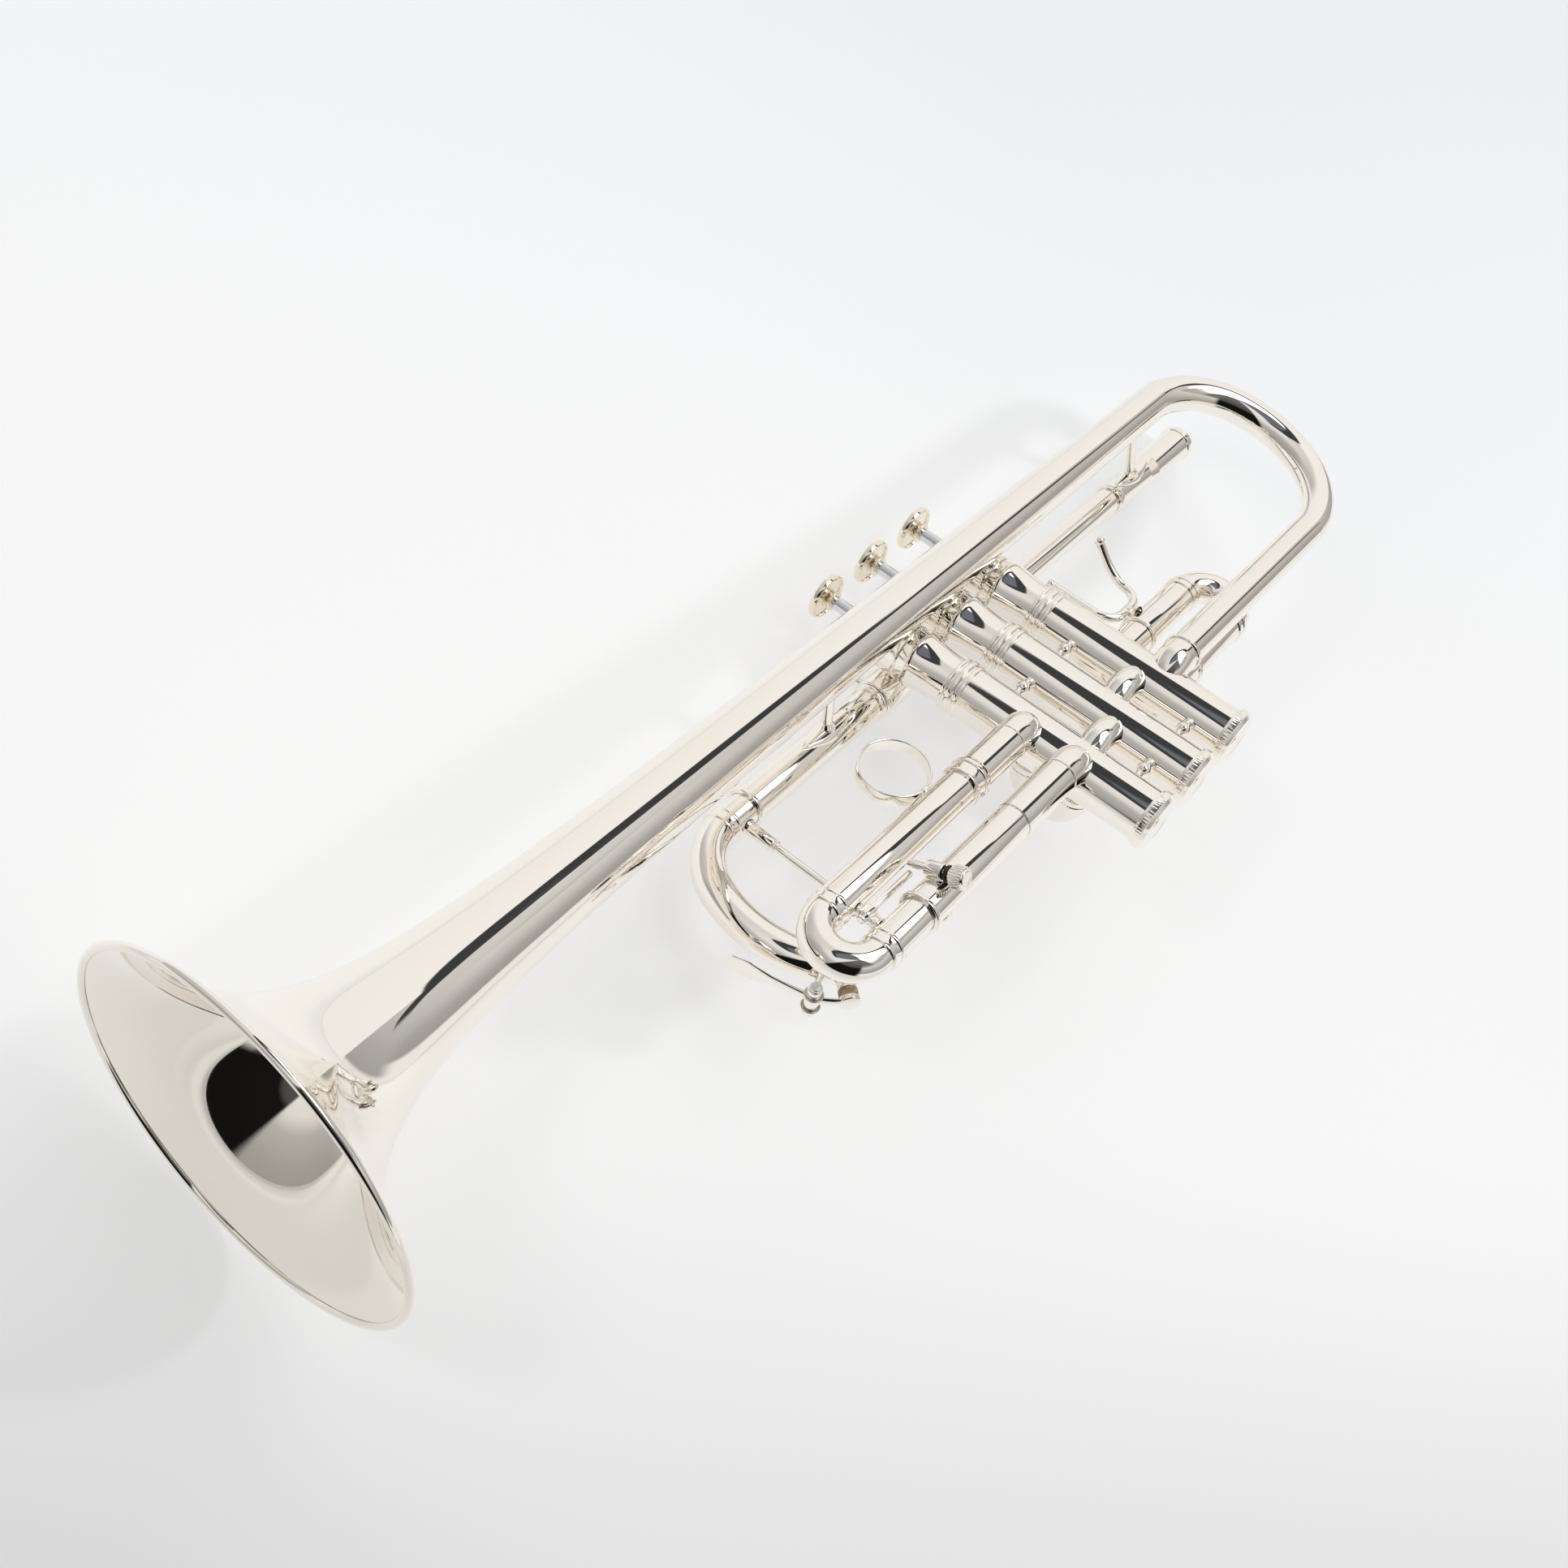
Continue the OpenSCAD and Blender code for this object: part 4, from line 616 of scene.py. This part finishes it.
bd.lathe(V3(-180.2, y3 + 1.4, zc), X, fil([(0, 0), (0, 1.6), (0.7, 2.4, 0.4), (4.4, 2.4, 0.6), (5.4, 1.5, 0.4), (6.4, 1.5, 0.5), (6.5, 0)], 0.3, n=4), 48)
bd.rod((-179, y3 + 1.4, zc), (-199.3, y3 + 1.4, zc), 1.15, 0.4)
bd.done("third_brace_rod", "third_brace", angle=45)

# ------------------------------------------------------------------ first slide
bd = Build()
for z in (z1, z1 - leg_gap):
    x0 = vx(1) - 8
    p = join(line((first_joint, y1, z), (x0, y1, z), 1.5), [V3(x0 + 8 * sd(a), y1 + 8 - 8 * cd(a), z) for a in range(0, 91, 3)])
    bd.sweep(p, outer_r, 96)
    tube_open(bd, (-388.5, y1, z), (first_joint + 1, y1, z), outer_r - tube_wall - slide_gap, air_r)
bd.done("first_fixed_pipes", "first_tubes", angle=40)
bd = Build()
for z in (z1, z1 - leg_gap):
    tube_open(bd, (x1c, y1, z), (first_joint - 0.1, y1, z), outer_r, outer_r - tube_wall)
    bead(bd, first_joint - 1.0, y1, z, outer_r + 0.9, 1.8, outer_r - 0.3)
bd.done("first_sleeve_pipes", "first_sleeves", angle=40)
bd = Build()
p = [V3(x1c - crook_r * sd(a), y1, z1 - crook_r + crook_r * cd(a)) for a in np.arange(0, 180.1, 2)]
bd.sweep(p, inner_r + 0.15, 112, up=Y)
for z in (z1, z1 - leg_gap):
    ferrule(bd, x1c + 2, y1, z, outer_r - 0.1, 4, 0.5)
bd.done("first_crook_bend", "first_crook", angle=45)
bd = Build()
ys, sx_, sR = y1 + 2, -364.0, 7.5
p = join(line((sx_ + 10, ys, z1 + 36), (sx_ + 10, ys, z1 + 9 + sR), 1.5), [V3(sx_ + 2.5 + sR * cd(a), ys, z1 + 9 + sR + sR * sd(a)) for a in range(0, -91, -4)],
         [V3(sx_ - 2.5 - sR * sd(a), ys, z1 + 9 + sR - sR * cd(a)) for a in range(0, 87, 4)])
last = p[-1]
endp = V3(sx_ - 12, y1 + 12.5, z1 + 32)
q1 = last + V3(-0.4, 0.4, 7)
for t in np.linspace(0.08, 1, 14):
    p.append((1 - t) ** 2 * last + 2 * t * (1 - t) * q1 + t * t * endp)
k = np.linspace(0, 1, len(p))
bd.sweep(p, 1.7 + 0.12 * np.sin(k * math.pi), 40)
bd.ball(p[0], 1.95); bd.ball(p[-1], 2.0)
bd.lathe(V3(sx_, y1 + 3.4, z1 + 4.6), V3(0, -1.2, 4.2), fil([(0, 3.2), (1.2, 2.9, 0.6), (2.6, 2.1, 1), (4.4, 1.7, 0.5)], 0.4), 48)
bd.done("thumb_saddle_rod", "thumb_saddle", angle=50)

# ------------------------------------------------------------------ second slide
bd = Build()
for z in (z2, z2 - leg_gap):
    tube_open(bd, (vx(2), y2_mouth, z), (vx(2), -valve_y - casing_r + 1.2, z), outer_r, inner_r + slide_gap)
    bd.lathe(V3(vx(2), y2_mouth, z), Y, fil([(0, outer_r - 0.1), (0, outer_r + 0.9, 0.3), (1.8, outer_r + 0.9, 0.4), (1.9, outer_r - 0.1)], 0.2), 96)
bd.done("second_fixed_pipes", "second_outer_tubes", angle=40)
bd = Build()
for z in (z2, z2 - leg_gap):
    tube_open(bd, (vx(2), y2c, z), (vx(2), -valve_y - casing_r - 1, z), inner_r, air_r)
bd.done("second_legs", "second_inner_tubes", angle=40)
bd = Build()
p = [V3(vx(2), y2c - crook_r * sd(a), z2 - crook_r + crook_r * cd(a)) for a in np.arange(0, 180.1, 2)]
bd.sweep(p, inner_r + 0.15, 112, up=X)
for z in (z2, z2 - leg_gap):
    bd.lathe(V3(vx(2), y2c, z), Y, fil([(0, inner_r - 0.1), (0, inner_r + 0.7, 0.3), (1, inner_r + 0.7, 0.2), (1.3, inner_r + 0.4), (2.7, inner_r + 0.4), (3, inner_r + 0.7, 0.2), (4, inner_r + 0.7, 0.3), (4, inner_r - 0.1)], 0.15), 96)
bd.done("second_crook_bend", "second_crook", angle=45)

# ------------------------------------------------------------------ tuning slide
bd = Build()
p1 = [V3(ts_x0 + ts_rc * sd(a), -lead_y, lead_z - ts_rc + ts_rc * cd(a)) for a in np.arange(0, ts_al + 0.01, 1.5)]
mx, mz = ts_x0 + ts_rc * sd(ts_al) - ts_rm * sd(ts_al), lead_z - tuning_h / 2
p2 = [V3(mx + ts_rm * sd(a), -lead_y, mz + ts_rm * cd(a)) for a in np.linspace(ts_al, 180 - ts_al, 40)]
p3 = [V3(ts_x0 + ts_rc * sd(a), -lead_y, ts_z + ts_rc + ts_rc * cd(a)) for a in np.arange(180 - ts_al, 180.01, 1.5)]
bd.sweep(join(p1, p2, p3), inner_r + 0.15, 128, up=Y)
ferrule(bd, ts_x0 + 1.5, -lead_y, lead_z, inner_r + 0.02, 5, 0.65)
ferrule(bd, ts_x0 + 1.5, -lead_y, ts_z, inner_r + 0.02, 5, 0.65)
nip = V3(ts_x0 + ts_rc * sd(42), -lead_y, ts_z + ts_rc - ts_rc * cd(42))
nd = V3(sd(42), 0, -cd(42))
bd.lathe(nip + nd * 4.5, nd, fil([(0, 3.9), (1.6, 3.6, 0.5), (2.2, 3.1, 0.5), (4.2, 3.1, 0.4), (4.9, 3.3, 0.2), (4.9, 1.9, 0.2), (0, 1.9)], 0.2, closed=True), 64, closed=True)
bd.done("tuning_crook_bend", "tuning_crook", angle=45)
bd = Build()
tube_open(bd, (-260, -lead_y, lead_z), (ts_x0, -lead_y, lead_z), inner_r, air_r)
tube_open(bd, (-258, -lead_y, ts_z), (ts_x0, -lead_y, ts_z), inner_r, air_r)
bd.done("tuning_legs", "tuning_inner_tubes", angle=40)
bd = Build()
a_ = lead_z - inner_r + 0.3
pr = [(0, 2.9), (1.0, 2.4, 0.5), (10.5, 2.4, 0.3), (10.5, 1.95, 0.2), (11.4, 1.95, 0.2), (11.4, 2.4, 0.3), (12.4, 2.4, 0.3), (12.6, 1.5, 0.4),
      (tuning_h - 2 * inner_r - 12, 1.5, 0.3), (tuning_h - 2 * inner_r - 12, 2.4, 0.3), (tuning_h - 2 * inner_r, 2.4, 0.3), (tuning_h - 2 * inner_r + 0.6, 2.9)]
bd.lathe(V3(-196.2, -lead_y, a_), -Z, fil(pr, 0.2, n=4), 56)
bd.done("tuning_brace_rod", "tuning_brace", angle=40)

wk = nip + nd * 12 + V3(sd(48), 0, cd(48)) * 11.5
bd = Build()
for s in (-1, 1):
    a = V3(wk[0], -lead_y + s * 4.95, wk[2]); b = V3(wk[0] - 11.2, -lead_y + s * 4.4, wk[2] + 4.2)
    bd.sweep(line(a, b, 1), 1.5, 32, flat=(1.0, 0.7))
    bd.lathe(a - 1.1 * Y, Y, fil([(0, 1.05), (0, 2.3), (2.2, 2.3), (2.2, 1.05)], 0.2, closed=True), 48, closed=True)
bd.done("water_key_post", "water_key_saddle", angle=45)
bd = Build()
bd.lathe(wk - 3.7 * Y, Y, fil([(0, 1.05), (0, 2.4), (7.4, 2.4), (7.4, 1.05)], 0.25, closed=True), 48, closed=True)
# spoon-shaped thumb lever, thin across and wide along y, in one curved strip
path = [wk + V3(-0.2, 0, 0.5), wk + V3(1.0, 0, 4.5), wk + V3(2.1, 0, 8.5), wk + V3(3.3, 0, 12.5), wk + V3(4.6, 0, 17), wk + V3(5.7, 0, 21), wk + V3(6.9, 0, 25), wk + V3(8.2, 0, 28.2)]
from_t = np.linspace(0, 1, len(path)); tt = np.linspace(0, 1, 50)
PP = np.array([[np.interp(t, from_t, [q[i] for q in path]) for i in range(3)] for t in tt])
wid = np.interp(tt, [0, 0.25, 0.45, 0.72, 0.9, 1.0], [2.1, 2.0, 2.3, 4.2, 3.9, 1.2])
thk = np.interp(tt, [0, 0.3, 0.7, 1.0], [0.95, 0.75, 0.6, 0.45])
bd.sweep(PP, 1.0, 40, flat=[(w, t) for w, t in zip(wid, thk)], up=Y)
tip = nip + nd * 13.4
mid = (wk + tip) / 2 + nd * 1.0
PP = [(1 - t) ** 2 * wk + 2 * t * (1 - t) * mid + t * t * tip for t in np.linspace(0, 1, 24)]
bd.sweep(PP, 1.0, 40, flat=(2.0, 0.8), up=Y)
bd.lathe(nip + nd * 12.4, nd, fil([(0, 0), (0, 3.7, 0.3), (1.8, 3.5, 0.6), (2.2, 0)], 0.3), 56)
bd.done("water_key_spoon", "water_key_lever", angle=50)
bd = Build()
bd.rod(wk - 6.05 * Y, wk + 6.1 * Y, 1.0, 0.15, 32)
bd.lathe(wk + 6.1 * Y, Y, fil([(0, 0), (0, 1.9), (1.2, 1.9, 0.4), (1.2, 0)], 0.2), 48)
bd.done("water_key_screw_turned", "water_key_screw", angle=45)
bd = Build()
for s in (-1, 1):
    path = [wk + V3(2.78 * math.cos(t), s * 2.95 + 0.0, 2.78 * math.sin(t)) for t in np.linspace(0, 2 * math.pi, 40, endpoint=False)]
    bd.sweep(path, 0.36, 12, wrap=True)
bd.done("water_key_coil", "water_key_spring", angle=80)
bd = Build()
bd.lathe(nip + nd * 9.45, nd, fil([(0, 0), (0, 3.1), (2.95, 3.1), (2.95, 0)], 0.3), 56)
bd.done("water_key_pad", "water_key_cork", angle=50)

# every CAD node still showing gets its slot's material
for name, ob in frame["nodes"].items():
    ob.data.materials.clear() if hasattr(ob.data, "materials") else None
    ob.data.materials.append(BY_SLOT[NODE_SLOT[name]])

# ------------------------------------------------------------------ stage
# the floor's glow strength is painted fill light: the floor emits as if lit, which lightens the shadows under the
# instrument
FLOOR_ALBEDO, FLOOR_PAINTED_FILL_GLOW = 0.45, 0.545
bpy.ops.mesh.primitive_grid_add(size=8, x_subdivisions=2, y_subdivisions=2, location=(0, 0, -0.0002))
floor = bpy.context.object
floor.name = "floor"
fm = bpy.data.materials.new("floor_card")
nt, N, L, bs = nodes_of(fm)
# the floor glows though it is no lamp: its emission is painted fill light that lifts the shadows; painted shade makes
# it fall off towards one side
bs.inputs["Roughness"].default_value = 0.6
bs.inputs["Specular IOR Level"].default_value = 0.1
tc = N.new("ShaderNodeTexCoord")
mp = N.new("ShaderNodeMapping"); mp.vector_type = "TEXTURE"; mp.inputs["Rotation"].default_value = (0, 0, math.radians(-135))
L.new(tc.outputs["Object"], mp.inputs["Vector"])
sp = N.new("ShaderNodeSeparateXYZ"); L.new(mp.outputs["Vector"], sp.inputs[0])


def floor_range(v, a0, a1, b0, b1):
    m = N.new("ShaderNodeMapRange"); m.interpolation_type = "SMOOTHSTEP"
    L.new(v, m.inputs["Value"])
    for k, q in (("From Min", a0), ("From Max", a1), ("To Min", b0), ("To Max", b1)):
        m.inputs[k].default_value = q
    return m.outputs["Result"]


def floor_math(op, a_, b_):
    m = N.new("ShaderNodeMath"); m.operation = op
    L.new(a_, m.inputs[0])
    if isinstance(b_, (int, float)):
        m.inputs[1].default_value = b_
    else:
        L.new(b_, m.inputs[1])
    return m.outputs[0]


# sp.X runs away from the camera, sp.Y across to its left
so = N.new("ShaderNodeSeparateXYZ"); L.new(tc.outputs["Object"], so.inputs[0])
# painted shade and light: the floor's colour and glow darken near the camera and on two sides, and brighten beyond the
# bell
painted_falloff = floor_math("MULTIPLY", floor_range(sp.outputs["X"], -0.30, -0.10, 0.82, 1.0), floor_range(sp.outputs["X"], 0.16, 0.50, 1.0, 0.965))
painted_falloff = floor_math("MULTIPLY", painted_falloff, floor_range(so.outputs["X"], 0.20, 0.36, 1.0, 0.90))
painted_falloff = floor_math("MULTIPLY", painted_falloff, floor_range(so.outputs["X"], 0.34, 0.42, 1.0, 1.16))
painted_falloff = floor_math("MULTIPLY", painted_falloff, floor_range(so.outputs["X"], -0.34, -0.02, 0.962, 1.0))
# painted shade: the floor darkens a little towards the table's far side
painted_falloff = floor_math("MULTIPLY", painted_falloff, floor_range(so.outputs["X"], 0.52, 0.90, 1.0, 0.80))
# painted shade: one far corner of the floor is darkened
painted_corner_shade = floor_math("MULTIPLY", floor_range(sp.outputs["Y"], 0.285, 0.42, 0.0, 0.16), floor_range(so.outputs["X"], 0.22, 0.28, 0.0, 1.0))
painted_falloff = floor_math("MULTIPLY", painted_falloff, floor_math("SUBTRACT", floor_range(so.outputs["X"], -9, -8, 1.0, 1.0), painted_corner_shade))
nz = N.new("ShaderNodeTexNoise"); nz.inputs["Scale"].default_value = 2.2; nz.inputs["Detail"].default_value = 2
L.new(tc.outputs["Object"], nz.inputs["Vector"])
painted_falloff = floor_math("MULTIPLY", painted_falloff, floor_range(nz.outputs["Fac"], 0.3, 0.7, 0.995, 1.005))
cool = N.new("ShaderNodeMix"); cool.data_type = "RGBA"
cool.inputs[6].default_value = (1.0, 1.0, 1.0, 1); cool.inputs[7].default_value = (0.975, 0.99, 1.008, 1)
L.new(floor_range(sp.outputs["X"], 0.02, 0.30, 0.0, 1.0), cool.inputs[0])
vm = N.new("ShaderNodeVectorMath"); vm.operation = "SCALE"
L.new(cool.outputs[2], vm.inputs[0]); L.new(painted_falloff, vm.inputs["Scale"])
for sock, k in (("Base Color", FLOOR_ALBEDO), ("Emission Color", 1.0)):
    v2 = N.new("ShaderNodeVectorMath"); v2.operation = "SCALE"; v2.inputs["Scale"].default_value = k
    L.new(vm.outputs["Vector"], v2.inputs[0]); L.new(v2.outputs["Vector"], bs.inputs[sock])
bs.inputs["Emission Strength"].default_value = FLOOR_PAINTED_FILL_GLOW
floor.data.materials.append(fm)

# world: bright diffuser overhead with a black edge under it, pale screen on the far side, grey room on the others,
# a dark figure behind the camera. Each sector is a ramp over elevation; the sectors are blended by azimuth.
w = bpy.data.worlds.new("studio")
bpy.context.scene.world = w
w.use_nodes = True
N, L = w.node_tree.nodes, w.node_tree.links
bg = N["Background"]
tc = N.new("ShaderNodeTexCoord")
sx = N.new("ShaderNodeSeparateXYZ")
L.new(tc.outputs["Generated"], sx.inputs[0])


def math_node(op, a, b=None):
    n = N.new("ShaderNodeMath"); n.operation = op
    for i, v in enumerate((a, b)):
        if v is None:
            continue
        if isinstance(v, (int, float)):
            n.inputs[i].default_value = v
        else:
            L.new(v, n.inputs[i])
    return n.outputs[0]


el = math_node("MULTIPLY", math_node("ARCSINE", sx.outputs["Z"]), 180 / math.pi)
az = math_node("MULTIPLY", math_node("ARCTAN2", sx.outputs["Y"], sx.outputs["X"]), 180 / math.pi)
elf = math_node("DIVIDE", math_node("ADD", el, 20.0), 110.0)
TOP = 2.05


def sector(stops):
    r = N.new("ShaderNodeValToRGB")
    L.new(elf, r.inputs["Fac"])
    while len(r.color_ramp.elements) < len(stops):
        r.color_ramp.elements.new(0.5)
    for e, (d, v) in zip(r.color_ramp.elements, stops):
        e.position = (d + 20) / 110
        warm = 0.985 if v < 1 else 1.0
        e.color = (v, v * (0.5 + 0.5 * warm), v * warm, 1)
    return r.outputs["Color"]


far = sector([(-4, .88), (-2, .90), (12, .90), (60, .94)])
side = sector([(-6, .85), (-2, .49), (18, .54), (32, .64), (50, .70), (60, .70)])
near = sector([(-18, .88), (-14, .36), (0, .35), (10, .37), (20, .42), (31, .47), (38, .63), (44, .76), (60, .82)])
dark = sector([(-9, .80), (-6, .05), (0, .006), (44, .008), (48, .07), (60, .10), (72, .14), (90, .16)])
left = sector([(-4, .88), (9.5, .86), (12.5, .35), (24, .40), (46, .66), (50, .35), (56, .17), (76, .15), (90, .15)])
left_far = sector([(-4, .88), (9.5, .86), (12.5, .35), (24, .40), (46, .66), (50, .42), (60, .48), (66, .9), (69, TOP), (90, TOP)])
back = sector([(-4, .88), (1, .80), (4, .38), (20, .43), (35, .53), (48, .62), (54, .66), (58, TOP), (90, TOP)])


def blend_az(c, d, a0, a1):
    m = N.new("ShaderNodeMapRange"); m.interpolation_type = "SMOOTHSTEP"
    L.new(az, m.inputs["Value"])
    m.inputs["From Min"].default_value, m.inputs["From Max"].default_value = a0, a1
    x = N.new("ShaderNodeMix"); x.data_type = "RGBA"
    L.new(m.outputs["Result"], x.inputs[0]); L.new(c, x.inputs[6]); L.new(d, x.inputs[7])
    return x.outputs[2]


c = blend_az(far, side, -124, -98)
c = blend_az(c, near, -75, -50)
c = blend_az(c, dark, -5, 0)
c = blend_az(c, left, 54, 64)
c = blend_az(c, left_far, 86, 98)
c = blend_az(c, back, 146, 158)


def ramp_az(stops, scale):
    """A value that changes with azimuth, given as (degrees, value) stops."""
    r = N.new("ShaderNodeValToRGB")
    L.new(math_node("DIVIDE", math_node("ADD", az, 180.0), 360.0), r.inputs["Fac"])
    while len(r.color_ramp.elements) < len(stops):
        r.color_ramp.elements.new(0.5)
    for e, (d, v) in zip(r.color_ramp.elements, stops):
        e.position = (d + 180) / 360
        e.color = (v / scale,) * 3 + (1,)
    g = N.new("ShaderNodeSeparateColor")
    L.new(r.outputs["Color"], g.inputs[0])
    return math_node("MULTIPLY", g.outputs[0], scale)


def step(v, a0, a1, b0=0.0, b1=1.0):
    m = N.new("ShaderNodeMapRange"); m.interpolation_type = "SMOOTHSTEP"
    L.new(v, m.inputs["Value"])
    for k, q in (("From Min", a0), ("From Max", a1), ("To Min", b0), ("To Max", b1)):
        m.inputs[k].default_value = q
    return m.outputs["Result"]


def mix_in(c_, value, fac):
    x = N.new("ShaderNodeMix"); x.data_type = "RGBA"
    L.new(fac, x.inputs[0]); L.new(c_, x.inputs[6]); x.inputs[7].default_value = (*value, 1)
    return x.outputs[2]


# the dark slot along the top of the screens, and the bright ceiling above it
edge = ramp_az([(-180, 49.8), (-172, 50.0), (-160, 51.5), (-146, 54), (-123, 59), (-100, 61.5), (-85, 61.5), (-63, 58.5), (-40, 57), (60, 57), (160, 28), (171, 39), (176, 45.5), (180, 49.8)], 90.0)
half = ramp_az([(-180, 5.6), (-172, 5.0), (-160, 3.9), (-150, 3.0), (-140, 3.0), (-118, 3.3), (-80, 3.3), (-40, 2.6), (100, 3.0), (165, 4.0), (171, 4.2), (180, 5.6)], 10.0)
gap = math_node("SUBTRACT", el, edge)
here = math_node("MAXIMUM", step(az, -36, -24, 1.0, 0.0), step(az, 164, 170))
c = mix_in(c, (0.15, 0.165, 0.20), math_node("MULTIPLY", step(gap, 1.0, 2.0), step(az, -36, -24, 1.0, 0.0)))
c = mix_in(c, (TOP, TOP, TOP), math_node("MULTIPLY", step(gap, 1.0, 2.0), step(az, -128, -118, 1.0, 0.0)))
c = mix_in(c, (0.045, 0.048, 0.05), math_node("MULTIPLY", step(math_node("SUBTRACT", math_node("ABSOLUTE", gap), half), -0.8, 0.6, 1.0, 0.0), here))
L.new(c, bg.inputs["Color"])
bg.inputs["Strength"].default_value = 1.0

CR = np.array([[-0.62026262, 0.16310684, -0.76724862], [0.52874518, -0.63557047, -0.5625644], [-0.57939867, -0.75461668, 0.30797865]])
CC = np.array([140.04891803, 429.22565388, -196.70360747])
right, down, fwd = (RM @ CR[0], RM @ CR[1], RM @ CR[2])


def soft_light(name, across, away, elev, dist, size, power, col=(1, 1, 1)):
    """A round diffuser placed by the picture's right (across) and depth (away) directions; it lights, but isn't mirrored."""
    h = right * across - np.array([down[0], down[1], 0]) * away
    h[2] = 0; h /= np.linalg.norm(h)
    loc = Vector((h[0] * math.cos(math.radians(elev)) * dist - 0.03, h[1] * math.cos(math.radians(elev)) * dist, math.sin(math.radians(elev)) * dist))
    la = bpy.data.lights.new(name, "AREA")
    la.shape = "DISK"; la.size = size; la.energy = power; la.color = col
    lo_ = bpy.data.objects.new(name, la)
    bpy.context.scene.collection.objects.link(lo_)
    lo_.location = loc
    lo_.rotation_euler = (Vector((-0.03, 0, 0.0)) - loc).to_track_quat("-Z", "Y").to_euler()
    lo_.visible_glossy = False
    return lo_


soft_light("strobe_right", 1.0, 0.05, 46, 1.5, 0.22, 5.2)
soft_light("strobe_left", -1.0, -0.1, 48, 1.5, 0.30, 2.4)

# ------------------------------------------------------------------ camera
cam = bpy.data.cameras.new("camera")
co = bpy.data.objects.new("camera", cam)
bpy.context.scene.collection.objects.link(co)
M = Matrix(((right[0], -down[0], -fwd[0], 0), (right[1], -down[1], -fwd[1], 0), (right[2], -down[2], -fwd[2], 0), (0, 0, 0, 1)))
co.matrix_world = Matrix.Translation(Vector(W(CC))) @ M
cam.sensor_width = 36.0
cam.lens = 2328.97 / 1932 * 36.0
cam.clip_start = 0.01
cam.clip_end = 50
bpy.context.scene.camera = co
bpy.context.scene.view_settings.view_transform = "Standard"
bpy.context.scene.view_settings.look = "None"
